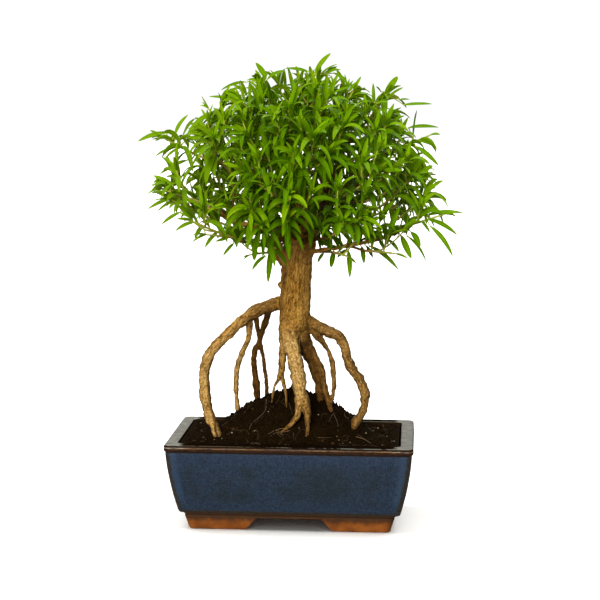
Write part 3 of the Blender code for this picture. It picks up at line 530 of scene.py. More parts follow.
def evaluated(obj):
    graph = bpy.context.evaluated_depsgraph_get()
    made = bpy.data.meshes.new_from_object(obj.evaluated_get(graph), depsgraph=graph)
    obj.modifiers.clear()
    old = obj.data
    obj.data = made
    bpy.data.meshes.remove(old)
    return obj


def glaze_paint():
    paint = Paint("blue_glaze")
    p = paint.place()
    x, y, z = paint.xyz(p)
    wander = paint.math("SUBTRACT", paint.noise(p, 0.55, 3.0), 0.5)
    fine = paint.noise(p, 2.6, 3.0, 0.6)
    # distance in from the two ends and the two sides of the tapered body
    up_wall = paint.math("MULTIPLY", paint.math("SUBTRACT", z, 12.1), 1.0 / 36.9)
    bow = paint.math("MULTIPLY", paint.math("SINE", paint.math("MULTIPLY", up_wall, math.pi)), BELLY)
    hx = paint.math("ADD", paint.math("MULTIPLY_ADD", up_wall, (BODY_TOP_LENGTH - BODY_LOW_LENGTH) / 2, BODY_LOW_LENGTH / 2), bow)
    hy = paint.math("ADD", paint.math("MULTIPLY_ADD", up_wall, (BODY_TOP_DEPTH - BODY_LOW_DEPTH) / 2, BODY_LOW_DEPTH / 2), bow)
    dx = paint.math("SUBTRACT", hx, paint.math("ABSOLUTE", x))
    dy = paint.math("SUBTRACT", hy, paint.math("ABSOLUTE", y))
    far = paint.math("MAXIMUM", dx, dy)
    corner = paint.step(paint.math("MULTIPLY_ADD", wander, 3.0, far), 4.0, 2.2)
    low = paint.step(paint.math("MULTIPLY_ADD", wander, 0.9, z), 13.5, 12.3)
    band = paint.step(paint.math("MULTIPLY_ADD", wander, 0.5, z), 49.3, 49.9)
    # blue, greyer in the middle of each face and towards the right of the front
    stripes = paint.noise(paint.scaled(p, 1.3, 1.3, 0.35), 1.0, 4.0, 0.65)
    patches = paint.noise(p, 0.055, 3.0, 0.5, 0.4)
    blue = paint.mix(paint.step(stripes, 0.32, 0.70), lin(18, 28, 42), lin(36, 52, 71))
    grey = paint.mix(paint.step(fine, 0.35, 0.65), lin(18, 25, 27), lin(33, 41, 44))
    up = paint.step(z, 45.5, 38.0)
    down = paint.step(z, 14.5, 22.0)
    inward = paint.step(far, 3.0, 16.0)
    middle = paint.math("MULTIPLY", paint.math("MULTIPLY", up, down), inward)
    spot = paint.add("ShaderNodeVectorMath", {0: paint.add("ShaderNodeVectorMath", {0: p, 1: (22.0, -38.0, 30.0)}, operation="SUBTRACT"),
                                              1: (0.036, 0.02, 0.060)}, operation="MULTIPLY")
    away = paint.tree.nodes.new("ShaderNodeVectorMath")
    away.operation = "LENGTH"
    paint.put(away.inputs[0], spot)
    cloud = paint.step(paint.math("MULTIPLY_ADD", patches, 0.9, away.outputs["Value"]), 1.35, 0.75)
    share = paint.math("MULTIPLY", middle, paint.step(patches, 0.42, 0.66))
    share = paint.math("MAXIMUM", paint.math("MULTIPLY", share, 0.75), paint.math("MULTIPLY", paint.math("MULTIPLY", cloud, middle), 0.75))
    body = paint.mix(share, blue, grey)
    # brighter blue just under the lip, where the glaze ran thick
    body = paint.mix(paint.math("MULTIPLY", paint.math("MULTIPLY", paint.step(z, 40.0, 48.0), paint.step(stripes, 0.25, 0.7)), 0.35), body, lin(32, 50, 80))
    grainy = paint.noise(p, 1.15, 4.0, 0.7)
    body = paint.mix(paint.math("MULTIPLY", paint.step(grainy, 0.50, 0.66), 0.5), body, lin(42, 58, 78))
    body = paint.mix(paint.math("MULTIPLY", paint.step(grainy, 0.50, 0.36), 0.5), body, lin(10, 17, 28))
    # a lighter band beside the corners
    beside = paint.math("MULTIPLY", paint.step(far, 8.5, 5.5), paint.step(z, 14.0, 22.0))
    body = paint.mix(paint.math("MULTIPLY", beside, 0.45), body, lin(46, 66, 90))
    speck = paint.step(paint.cells(p, 0.62), 0.20, 0.10)
    rare = paint.step(paint.cells(p, 0.21), 0.13, 0.07)
    body = paint.mix(paint.math("MULTIPLY", speck, 0.3), body, lin(42, 58, 80))
    body = paint.mix(paint.math("MULTIPLY", rare, 0.8), body, lin(14, 16, 20))
    brown = paint.mix(paint.step(paint.noise(p, 0.9, 3.0), 0.35, 0.7), lin(28, 21, 10), lin(54, 43, 23))
    edge = paint.math("MAXIMUM", corner, low)
    colour = paint.mix(paint.math("MULTIPLY", edge, 0.9), body, brown)
    # the lip: brown on its side, with a painted highlight as a pale line along it, a painted dark line along its
    # rounded top edge, and painted shade, nearly black, along its lower edge
    streak = paint.noise(paint.scaled(p, 0.35, 0.35, 1.8), 1.0, 4.0)
    lip = paint.mix(paint.step(streak, 0.35, 0.7), lin(22, 10, 2), lin(60, 31, 7))
    # painted highlight: a pale tan line along the side of the lip, whiter towards the ends
    thin = paint.math("ABSOLUTE", paint.math("SUBTRACT", paint.math("MULTIPLY_ADD", wander, 0.9, z), 52.75))
    tan = paint.mix(paint.step(paint.math("ABSOLUTE", x), 58.0, 71.0), lin(126, 88, 36), lin(184, 168, 142))
    lip = paint.mix(paint.math("MULTIPLY", paint.step(thin, 0.40, 0.08), paint.step(paint.noise(paint.scaled(p, 0.16, 0.16, 1.6), 1.0, 5.0, 0.7), 0.38, 0.56)), lip, tan)
    # painted shade, nearly black, along the lower edge of the lip
    lip = paint.mix(paint.math("MULTIPLY", paint.step(z, 51.0, 50.4), 0.85), lip, lin(16, 10, 5))
    # painted shade as a dark line along the lip's rounded top edge
    lip = paint.mix(paint.math("MULTIPLY", paint.step(z, 53.2, 53.7), 0.9), lip, lin(26, 17, 9))
    # its flat top is a rough dark brown along the sides, and at the ends a smooth grey green that is a painted
    # reflection of the bright room
    top = paint.step(z, 53.9, 54.3)
    ends = paint.step(paint.math("MULTIPLY_ADD", wander, 6.0, paint.math("ABSOLUTE", x)), 62.5, 66.5)
    drawn = paint.noise(paint.scaled(p, 0.22, 1.3, 1.0), 1.0, 5.0, 0.65)
    land = paint.mix(ends, paint.mix(streak, lin(8, 5, 2), lin(30, 19, 9)), paint.mix(paint.step(drawn, 0.42, 0.58), lin(42, 42, 24), paint.mix(paint.step(x, 30.0, 60.0), lin(100, 98, 73), lin(80, 76, 48))))
    lip = paint.mix(top, lip, land)
    # painted highlight in pale streaks along the rounded outer edge of its top
    highlight_mask = paint.math("MULTIPLY", paint.step(z, 54.0, 54.2), paint.step(z, 54.47, 54.40))
    highlight_mask = paint.math("MULTIPLY", highlight_mask, paint.math("SUBTRACT", 1.0, ends))
    highlight_streaks = paint.noise(paint.scaled(p, 0.16, 0.16, 0.5), 1.0, 5.0, 0.7)
    highlight_streaks = paint.step(paint.math("MULTIPLY_ADD", paint.step(paint.math("ABSOLUTE", x), 12.0, 40.0), 0.16, highlight_streaks), 0.49, 0.62)
    lip = paint.mix(paint.math("MULTIPLY", paint.math("MULTIPLY", highlight_mask, highlight_streaks), 0.70), lip, paint.mix(paint.step(x, -30.0, 30.0), lin(84, 72, 54), lin(124, 124, 112)))
    inside = paint.math("MULTIPLY", paint.step(dx, 4.0, 6.0), paint.step(dy, 4.0, 6.0))
    inner = paint.math("MULTIPLY", inside, paint.step(z, 54.35, 54.0))
    lip = paint.mix(inner, lip, paint.mix(fine, lin(16, 11, 5), lin(46, 31, 15)))
    dull = paint.math("MULTIPLY", paint.math("MAXIMUM", paint.step(z, 53.0, 53.5), inner), paint.math("SUBTRACT", 1.0, paint.math("MULTIPLY", ends, top)))
    colour = paint.mix(band, colour, lip)
    rough = paint.math("MULTIPLY_ADD", fine, 0.16, 0.26)
    rough = paint.math("ADD", rough, paint.math("MULTIPLY", share, 0.10))
    rough = paint.math("MULTIPLY_ADD", band, -0.06, rough)
    rough = paint.math("ADD", rough, paint.math("MULTIPLY", dull, 0.62), clamp=True)
    coat = paint.math("MULTIPLY_ADD", share, -0.25, 1.0)
    coat = paint.math("MULTIPLY", coat, paint.math("MULTIPLY_ADD", paint.step(z, 50.2, 51.0), -0.4, 1.0))
    coat = paint.math("MULTIPLY", coat, paint.math("MULTIPLY_ADD", paint.math("MULTIPLY", ends, top), 0.66, 1.0))
    coat = paint.math("MULTIPLY", coat, paint.math("SUBTRACT", 1.0, dull))
    coat = paint.math("MULTIPLY", coat, paint.math("MULTIPLY_ADD", paint.step(drawn, 0.40, 0.60), 0.35, 0.70))
    coat = paint.math("MULTIPLY", coat, paint.math("MULTIPLY_ADD", fine, 0.3, 0.85), clamp=True)
    height = paint.math("ADD", paint.math("MULTIPLY", paint.noise(p, 0.25, 2.0), 1.0), paint.math("MULTIPLY", fine, 0.12))
    height = paint.math("SUBTRACT", height, paint.math("MULTIPLY", rare, 0.35))
    paint.set(Base_Color=colour, Roughness=rough, Normal=paint.bump(height, 0.35, 0.0006), IOR=1.5, Coat_Weight=coat)
    paint.shader.inputs["Specular IOR Level"].default_value = 0.0
    paint.shader.inputs["Coat Roughness"].default_value = 0.30
    return paint.mat


def clay_paint():
    paint = Paint("bare_clay")
    p = paint.place()
    x, y, z = paint.xyz(p)
    grain = paint.noise(p, 1.8, 4.0, 0.65)
    broad = paint.noise(p, 0.12, 3.0, 0.5)
    clay = paint.mix(paint.step(broad, 0.3, 0.7), lin(108, 56, 16), lin(142, 79, 25))
    clay = paint.mix(paint.math("MULTIPLY", paint.step(grain, 0.5, 0.75), 0.4), clay, lin(92, 50, 20))
    # painted shade darkens the clay for a few millimetres under the glazed edge
    shade_under_glaze = paint.step(paint.math("MULTIPLY_ADD", paint.noise(p, 0.16, 4.0, 0.6, 0.5), 7.0, z), 7.4, 11.6)
    clay = paint.mix(paint.math("MULTIPLY", shade_under_glaze, 0.85), clay, lin(44, 31, 19))
    strip = paint.step(paint.math("MULTIPLY_ADD", broad, 1.0, z), 9.4, 10.2)
    clay = paint.mix(paint.math("MULTIPLY", strip, 0.8), clay, lin(62, 40, 22))
    # painted shade in the shallow groove round the base
    groove = paint.math("MULTIPLY", paint.step(z, 9.0, 9.3), paint.step(z, 9.9, 9.6))
    clay = paint.mix(paint.math("MULTIPLY", groove, 0.7), clay, lin(22, 15, 9))
    pit = paint.step(paint.cells(p, 0.9), 0.16, 0.06)
    clay = paint.mix(paint.math("MULTIPLY", pit, 0.5), clay, lin(96, 52, 28))
    height = paint.math("ADD", grain, paint.math("MULTIPLY", pit, -0.6))
    paint.set(Base_Color=clay, Roughness=paint.math("MULTIPLY_ADD", grain, 0.15, 0.72), Normal=paint.bump(height, 0.5, 0.0005))
    paint.shader.inputs["Specular IOR Level"].default_value = 0.15
    return paint.mat


def make_pot():
    hx, hy = RIM_LENGTH / 2, RIM_DEPTH / 2
    lip = RIM_TOP - RIM_BAND
    keys = [
        (FOOT_LENGTH / 2 - 0.9, FOOT_DEPTH / 2 - 0.9, 2.2, 0.0),
        (FOOT_LENGTH / 2 - 0.25, FOOT_DEPTH / 2 - 0.25, 2.5, 0.3),
        (FOOT_LENGTH / 2 + 0.1, FOOT_DEPTH / 2 + 0.1, 2.6, 1.0),
    ]
    for k in range(1, 7):
        t = k / 7
        z = 1.0 + (9.0 - 1.0) * t
        s = (z - 0.8) / (BODY_LOW - 0.8)
        keys.append((FOOT_LENGTH / 2 + (BASE_TOP_LENGTH - FOOT_LENGTH) / 2 * s,
                     FOOT_DEPTH / 2 + (BASE_TOP_DEPTH - FOOT_DEPTH) / 2 * s, 2.6 + 0.4 * s, z))
    keys += [
        (64.3, 32.9, 3.0, 9.1), (64.0, 32.6, 3.0, 9.4), (64.1, 32.7, 3.0, 9.7), (64.8, 33.3, 3.0, 10.0),
        (BASE_TOP_LENGTH / 2 + 0.1, BASE_TOP_DEPTH / 2, 3.0, 10.6),
        (BASE_TOP_LENGTH / 2 + 0.2, BASE_TOP_DEPTH / 2 + 0.1, 3.0, BODY_LOW),
        (BODY_LOW_LENGTH / 2 - 1.3, BODY_LOW_DEPTH / 2 - 1.3, 3.0, BODY_LOW + 0.05),
        (BODY_LOW_LENGTH / 2 - 0.5, BODY_LOW_DEPTH / 2 - 0.5, 3.2, BODY_LOW + 0.35),
        (BODY_LOW_LENGTH / 2 - 0.05, BODY_LOW_DEPTH / 2 - 0.05, 3.4, BODY_LOW + 1.1),
    ]
    for k in range(1, 18):
        t = k / 18
        z = BODY_LOW + 1.1 + (lip - 1.2 - BODY_LOW - 1.1) * t
        belly = BELLY * math.sin(math.pi * t)
        keys.append((BODY_LOW_LENGTH / 2 + (BODY_TOP_LENGTH - BODY_LOW_LENGTH) / 2 * t + belly,
                     BODY_LOW_DEPTH / 2 + (BODY_TOP_DEPTH - BODY_LOW_DEPTH) / 2 * t + belly, 3.4 + 0.2 * t, z))
    keys += [
        (BODY_TOP_LENGTH / 2 - 0.05, BODY_TOP_DEPTH / 2 - 0.05, 3.6, lip - 0.8),
        (BODY_TOP_LENGTH / 2 - 0.05, BODY_TOP_DEPTH / 2 - 0.05, 3.6, lip - 0.3),
        (hx - 0.55, hy - 0.55, 3.7, lip + 0.05),
        (hx - 0.15, hy - 0.15, 3.8, lip + 0.5),
        (hx, hy, 3.8, lip + 1.1), (hx + 0.02, hy + 0.02, 3.8, lip + 2.2), (hx, hy, 3.8, RIM_TOP - 1.4),
        (hx - 0.12, hy - 0.12, 3.75, RIM_TOP - 0.9), (hx - 0.42, hy - 0.42, 3.65, RIM_TOP - 0.42),
        (hx - 0.9, hy - 0.9, 3.5, RIM_TOP - 0.12), (hx - 1.5, hy - 1.5, 3.3, RIM_TOP),
        (hx - 3.4, hy - 3.4, 3.2, RIM_TOP - 0.02), (hx - 5.6, hy - 5.6, 3.2, RIM_TOP - 0.02),
        (hx - RIM_LAND + 0.9, hy - RIM_LAND + 0.9, 3.2, RIM_TOP - 0.03),
        (hx - RIM_LAND + 0.3, hy - RIM_LAND + 0.3, 3.1, RIM_TOP - 0.25), (hx - RIM_LAND, hy - RIM_LAND, 3.0, RIM_TOP - 0.8),
        (66.8, 34.3, 3.0, 50.0), (65.4, 32.9, 3.2, 40.0), (63.8, 31.4, 3.6, 28.0),
        (61.2, 28.9, 4.5, FLOOR + 1.6), (59.6, 27.3, 4.0, FLOOR),
    ]
    pot = loft_mesh("glazed_pot", [rounded_outline(*row) for row in keys])
    cutters = []
    for profile, span, turned_round in (
        ([(-27.9, -1.0), (27.9, -1.0), (20.9, 6.8), (20.0, 7.65), (18.9, 8.0), (-18.9, 8.0), (-20.0, 7.65), (-20.9, 6.8)], 45.0, False),
        ([(-12.9, -1.0), (12.9, -1.0), (7.6, 7.0), (7.0, 7.65), (6.2, 8.0), (-6.2, 8.0), (-7.0, 7.65), (-7.6, 7.0)], 75.0, True),
    ):
        rings = []
        for s in (-span, span):
            rings.append([(s, a, z) if turned_round else (a, s, z) for a, z in profile])
        cutters.append(loft_mesh("cut_arch", rings))
    for sign in (-1, 1):
        ring = [(sign * DRAIN_X + DRAIN_RADIUS * math.cos(a), DRAIN_RADIUS * math.sin(a)) for a in (TAU * k / 32 for k in range(32))]
        cutters.append(loft_mesh("cut_drain", [[(x, y, z) for x, y in ring] for z in (4.0, FLOOR + 3.0)]))
    group = bpy.data.collections.new("cutters")
    bpy.context.scene.collection.children.link(group)
    for c in cutters:
        bpy.context.scene.collection.objects.unlink(c)
        group.objects.link(c)
    step = pot.modifiers.new("cut", "BOOLEAN")
    step.operation, step.operand_type, step.collection, step.solver = "DIFFERENCE", "COLLECTION", group, "EXACT"
    evaluated(pot)
    for c in cutters:
        bpy.data.objects.remove(c, do_unlink=True)
    bpy.data.collections.remove(group)
    mesh = pot.data
    work = bmesh.new()
    work.from_mesh(mesh)
    bmesh.ops.remove_doubles(work, verts=work.verts, dist=0.00001)
    bmesh.ops.dissolve_degenerate(work, dist=0.00001, edges=work.edges)
    # soften the edges that the arches cut into the clay
    cut = []
    for e in work.edges:
        if len(e.link_faces) != 2:
            continue
        z = min(v.co.z for v in e.verts) / MM
        if z < 8.5 and e.calc_face_angle(0.0) > math.radians(38):
            cut.append(e)
    bmesh.ops.bevel(work, geom=cut, offset=0.00045, segments=2, profile=0.5, affect="EDGES", clamp_overlap=True)
    bmesh.ops.remove_doubles(work, verts=work.verts, dist=0.000005)
    bmesh.ops.triangulate(work, faces=[f for f in work.faces if len(f.verts) > 4])
    # hand-made unevenness of the glazed faces
    for v in work.verts:
        z = v.co.z / MM
        if z > BODY_LOW + 0.9 and z < RIM_TOP - 0.05:
            q = Vector(((v.co.x / MM) * 0.045, (v.co.y / MM) * 0.045, z * 0.09))
            wave = noise.noise(q) * 0.16 + noise.noise(q * 4.0) * 0.05
            out = Vector((v.normal.x, v.normal.y, 0.0))
            if out.length > 0.2:
                v.co += out.normalized() * wave * MM
    bmesh.ops.recalc_face_normals(work, faces=work.faces)
    work.to_mesh(mesh)
    work.free()
    mesh.materials.clear()
    mesh.materials.append(glaze_paint())
    mesh.materials.append(clay_paint())
    # bare clay below the glaze line and on the inside floor
    centre = np.zeros(len(mesh.polygons) * 3, np.float32)
    mesh.polygons.foreach_get("center", centre)
    height = centre.reshape(-1, 3)[:, 2] / MM
    across = np.abs(centre.reshape(-1, 3)[:, 0] / MM - SHIFT[0])
    bare = (height < BODY_LOW + 0.10) | ((height < 26.0) & (across < 64.0) & (height > 13.8) & (np.abs(centre.reshape(-1, 3)[:, 1] / MM - SHIFT[1]) < 31.2))
    mesh.polygons.foreach_set("material_index", bare.astype(np.int32))
    mesh.shade_smooth()
    mesh.set_sharp_from_angle(angle=math.radians(34))
    finish_piece(pot, "glazed_stoneware", "pot")
    return pot


# ---------------------------------------------------------------------------
# drain screens: the CAD pieces stay, with a moulded plastic finish
# ---------------------------------------------------------------------------
def paint_screens():
    paint = Paint("moulded_mesh")
    p = paint.place()
    grain = paint.noise(p, 3.0, 3.0)
    dust = paint.step(paint.noise(p, 0.35, 4.0, 0.6), 0.5, 0.72)
    colour = paint.mix(paint.math("MULTIPLY", dust, 0.6), paint.mix(grain, (0.012, 0.012, 0.013, 1), (0.03, 0.03, 0.032, 1)), (0.10, 0.06, 0.03, 1))
    paint.set(Base_Color=colour, Roughness=paint.math("MULTIPLY_ADD", dust, 0.3, 0.5), Normal=paint.bump(grain, 0.4, 0.0002))
    for name in ("drain_screen_left", "drain_screen_right"):
        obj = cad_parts[name]
        obj.data.materials.clear()
        obj.data.materials.append(paint.mat)


# ---------------------------------------------------------------------------
# soil
# ---------------------------------------------------------------------------
SOIL_EDGE, MOUND_RISE, MOUND_X, MOUND_Y = 52.4, 26.6, -1.0, 12.0
MOUND_HALF_X, MOUND_FRONT, MOUND_BACK = 52.0, 36.0, 23.0


def soil_height(x, y):
    reach = MOUND_FRONT if y < MOUND_Y else MOUND_BACK
    r = math.hypot((x - MOUND_X) / MOUND_HALF_X, (y - MOUND_Y) / reach)
    heap = max(0.0, 1.0 - r ** 1.6)
    heap = heap if r < 0.8 else heap * max(0.0, 1.0 - (r - 0.8) / 0.5) ** 0.5
    lumps = 0.5 * math.sin(0.31 * x + 1.7) * math.cos(0.37 * y) + 0.35 * math.sin(0.53 * y - 0.47 * x)
    # it is banked up a little against the two end walls
    bank = 1.75 * math.exp(-(((x + 66.5) / 7.0) ** 2)) + 0.9 * math.exp(-(((x - 66.5) / 6.0) ** 2))
    return SOIL_EDGE + 0.1 + MOUND_RISE * heap + lumps * min(1.0, 0.3 + heap) + bank


def soil_top(x, y):
    """The crumbly surface over the plain heap."""
    h = soil_height(x, y)
    inset = min(66.5 - abs(x), 34.0 - abs(y))
    free = min(1.0, max(0.0, inset / 3.0))
    q = Vector((x, y, h))
    near, _ = noise.voronoi(q * 0.42)
    lump = (near[1] - near[0]) * 1.1 - 0.35
    fine, _ = noise.voronoi(q * 1.05)
    small = (fine[1] - fine[0]) * 0.55 - 0.15
    rough = noise.noise(q * 0.16) * 1.3 + noise.noise(q * 2.2) * 0.22
    steep = 1.0 + 0.5 * min(1.0, (h - SOIL_EDGE) / 12.0)
    clod = max(0.0, noise.noise(q * 0.55) - 0.12) * 4.2 * min(1.0, max(0.0, (h - SOIL_EDGE - 6.0) / 10.0))
    return h + (lump * steep + small + rough) * free * 0.8 + clod - (1.0 - free) * 0.3


def soil_paint():
    paint = Paint("peat")
    p = paint.place()
    tone = paint.attribute("tone")
    grain = paint.noise(p, 1.7, 5.0, 0.7)
    broad = paint.noise(p, 0.14, 3.0)
    colour = paint.mix(paint.step(grain, 0.40, 0.66), lin(6, 3, 0), lin(40, 27, 9))
    colour = paint.mix(paint.math("MULTIPLY", paint.step(broad, 0.45, 0.7), 0.4), colour, lin(28, 17, 4))
    flake = paint.step(paint.cells(p, 1.1), 0.14, 0.06)
    colour = paint.mix(paint.math("MULTIPLY", flake, 0.4), colour, lin(66, 45, 18))
    colour = paint.mix(paint.step(tone, 0.5, 1.0), colour, lin(72, 50, 24))
    height = paint.math("ADD", grain, paint.math("MULTIPLY", paint.noise(p, 4.5, 3.0), 0.5))
    paint.set(Base_Color=colour, Roughness=0.92, Normal=paint.bump(height, 0.9, 0.0006))
    paint.shader.inputs["Specular IOR Level"].default_value = 0.02
    return paint.mat


def icosahedron():
    g = (1 + 5 ** 0.5) / 2
    v = np.array([(-1, g, 0), (1, g, 0), (-1, -g, 0), (1, -g, 0), (0, -1, g), (0, 1, g), (0, -1, -g), (0, 1, -g),
                  (g, 0, -1), (g, 0, 1), (-g, 0, -1), (-g, 0, 1)], float)
    v /= np.linalg.norm(v[0])
    f = [(0, 11, 5), (0, 5, 1), (0, 1, 7), (0, 7, 10), (0, 10, 11), (1, 5, 9), (5, 11, 4), (11, 10, 2), (10, 7, 6), (7, 1, 8),
         (3, 9, 4), (3, 4, 2), (3, 2, 6), (3, 6, 8), (3, 8, 9), (4, 9, 5), (2, 4, 11), (6, 2, 10), (8, 6, 7), (9, 8, 1)]
    return v, f


def split_once(v, f):
    v = list(map(tuple, v))
    seen, out = {}, []

    def middle(a, b):
        key = (min(a, b), max(a, b))
        if key not in seen:
            m = (np.array(v[a]) + np.array(v[b])) / 2
            v.append(tuple(m / np.linalg.norm(m)))
            seen[key] = len(v) - 1
        return seen[key]

    for a, b, c in f:
        x, y, z = middle(a, b), middle(b, c), middle(c, a)
        out += [(a, x, z), (b, y, x), (c, z, y), (x, y, z)]
    return np.array(v), out


def make_soil(roots):
    paint = soil_paint()
    nx, ny = 236, 124
    half_x, half_y, corner = 66.5, 34.0, 3.3
    bag = Bag("tone")
    verts = np.zeros((nx, ny, 3))
    for i in range(nx):
        x = -half_x + 2 * half_x * i / (nx - 1)
        for j in range(ny):
            y = -half_y + 2 * half_y * j / (ny - 1)
            px, py = x, y
            ex, ey = abs(x) - (half_x - corner), abs(y) - (half_y - corner)
            if ex > 0 and ey > 0:
                # the corners of the sheet follow the rounded corners of the pot
                m, d = max(ex, ey), math.hypot(ex, ey)
                px = math.copysign(half_x - corner + ex * m / d, x)
                py = math.copysign(half_y - corner + ey * m / d, y)
            verts[i, j] = (px, py, soil_top(px, py))
    grid = np.arange(nx * ny).reshape(nx, ny)
    quads = np.stack([grid[:-1, :-1].ravel(), grid[1:, :-1].ravel(), grid[1:, 1:].ravel(), grid[:-1, 1:].ravel()], axis=1)
    border = list(grid[:, 0]) + list(grid[-1, 1:]) + list(grid[-2::-1, -1]) + list(grid[0, -2:0:-1])
    flat = verts.reshape(-1, 3)
    rim = flat[border]
    rings, wall = [np.array(border)], []
    extra, start = [], len(flat)
    for fx, fy, z in ((66.4 / 66.5, 33.9 / 34.0, 50.0), (60.8 / 66.5, 28.5 / 34.0, FLOOR + 2.0), (59.2 / 66.5, 26.9 / 34.0, FLOOR + 0.3)):
        ring = rim * np.array([fx, fy, 0.0]) + np.array([0, 0, z])
        extra.append(ring)
        rings.append(start + np.arange(len(ring)))
        start += len(ring)
    for a, b in zip(rings[:-1], rings[1:]):
        n = len(a)
        k = np.arange(n)
        wall.append(np.stack([a[k], b[k], b[(k + 1) % n], a[(k + 1) % n]], axis=1))
    allv = np.vstack([flat, *extra, [[0.0, 0.0, FLOOR + 0.3]]])
    last, centre = rings[-1], len(allv) - 1
    k = np.arange(len(last))
    tris = np.stack([last[(k + 1) % len(last)], last[k], np.full(len(last), centre)], axis=1)
    bag.add(allv, np.vstack([quads, *wall]), tris, tone=0.0)
    soil = bag.make("soil_bed", [paint])
    finish_piece(soil, "potting_soil", "soil")

    # crumbs and flakes lying on it
    ico, ico_f = icosahedron()
    ball, ball_f = split_once(ico, ico_f)
    ball_f, ico_f = np.array(ball_f), np.array(ico_f)
    crumbs = Bag("tone")
    rng = np.random.default_rng(11)
    placed = 0
    for k in range(1900):
        big = k < 420
        x, y = rng.uniform(-65.2, 65.2), rng.uniform(-32.8, 32.8)
        if big and rng.random() < 0.45:
            x, y = MOUND_X + rng.normal(0, 26), rng.uniform(-26, 31)
        if abs(x) > 65.2 or abs(y) > 32.8:
            continue
        r = rng.uniform(0.45, 1.25) if big else rng.uniform(0.22, 0.5)
        r *= 0.8 if rng.random() < 0.5 else 1.0
        z = soil_top(x, y)
        shape, faces = (ball, ball_f) if big else (ico, ico_f)
        v = shape * (1.0 + rng.normal(0, 0.13, (len(shape), 1)))
        v = v * np.array([rng.uniform(0.8, 1.5), rng.uniform(0.7, 1.1), rng.uniform(0.45, 0.9)]) * r
        a, b = rng.uniform(0, TAU), rng.uniform(-0.7, 0.7)
        rot = np.array(Matrix.Rotation(a, 3, "Z") @ Matrix.Rotation(b, 3, "X"))
        v = v @ rot.T + np.array([x, y, z + r * 0.22])
        tone = rng.uniform(0, 0.5) if rng.random() < 0.95 else rng.uniform(0.6, 1.0)
        crumbs.add(v, None, faces, tone=tone)
        placed += 1
    obj = crumbs.make("soil_crumbs", [paint], sharp=50)
    finish_piece(obj, "potting_soil")

    # pale grit and clay grains
    grit = Bag("tone")
    spots = [(201, 423), (306, 438), (392, 441), (366, 434), (212, 431), (378, 428), (339, 441), (232, 434), (350, 442), (299, 428)]
    for k in range(34):
        if k < len(spots):
            p = None
            for step in range(80):
                q = seen_at(*spots[k], -34.0 + step * 0.9)
                if abs(q[0]) < 65 and abs(q[1]) < 33 and q[2] <= soil_height(q[0], q[1]) + 0.4:
                    p = q
                    break
            if p is None:
                continue
            x, y = p[0], p[1]
            r = 0.42
        else:
            x, y = rng.uniform(-64, 64), rng.uniform(-31, 31)
            r = rng.uniform(0.2, 0.42)
        v = ball * (1.0 + rng.normal(0, 0.1, (len(ball), 1))) * np.array([1.2, 0.9, 0.8]) * r
        v = v + np.array([x, y, soil_top(x, y) + r * 0.5])
        grit.add(v, None, ball_f, tone=rng.random())
    paint2 = Paint("grit")
    p = paint2.place()
    base = paint2.mix(paint2.step(paint2.attribute("tone"), 0.45, 0.55), lin(176, 160, 132), lin(104, 72, 38))
    base = paint2.mix(paint2.math("MULTIPLY", paint2.noise(p, 2.5, 3.0), 0.6), base, lin(110, 92, 66))
    paint2.set(Base_Color=base, Roughness=0.85, Normal=paint2.bump(paint2.noise(p, 4.0, 3.0), 0.5, 0.0003))
    obj = grit.make("soil_grit", [paint2.mat])
    finish_piece(obj, "potting_soil")
    return soil


def on_soil(u, v):
    """Where the photograph's pixel meets the soil."""
    last = None
    for step in range(260):
        q = seen_at(u, v, -36.0 + step * 0.27)
        if abs(q[0]) < 66 and abs(q[1]) < 33.5 and q[2] <= soil_height(q[0], q[1]) + 0.3:
            return q
        last = q
    return last


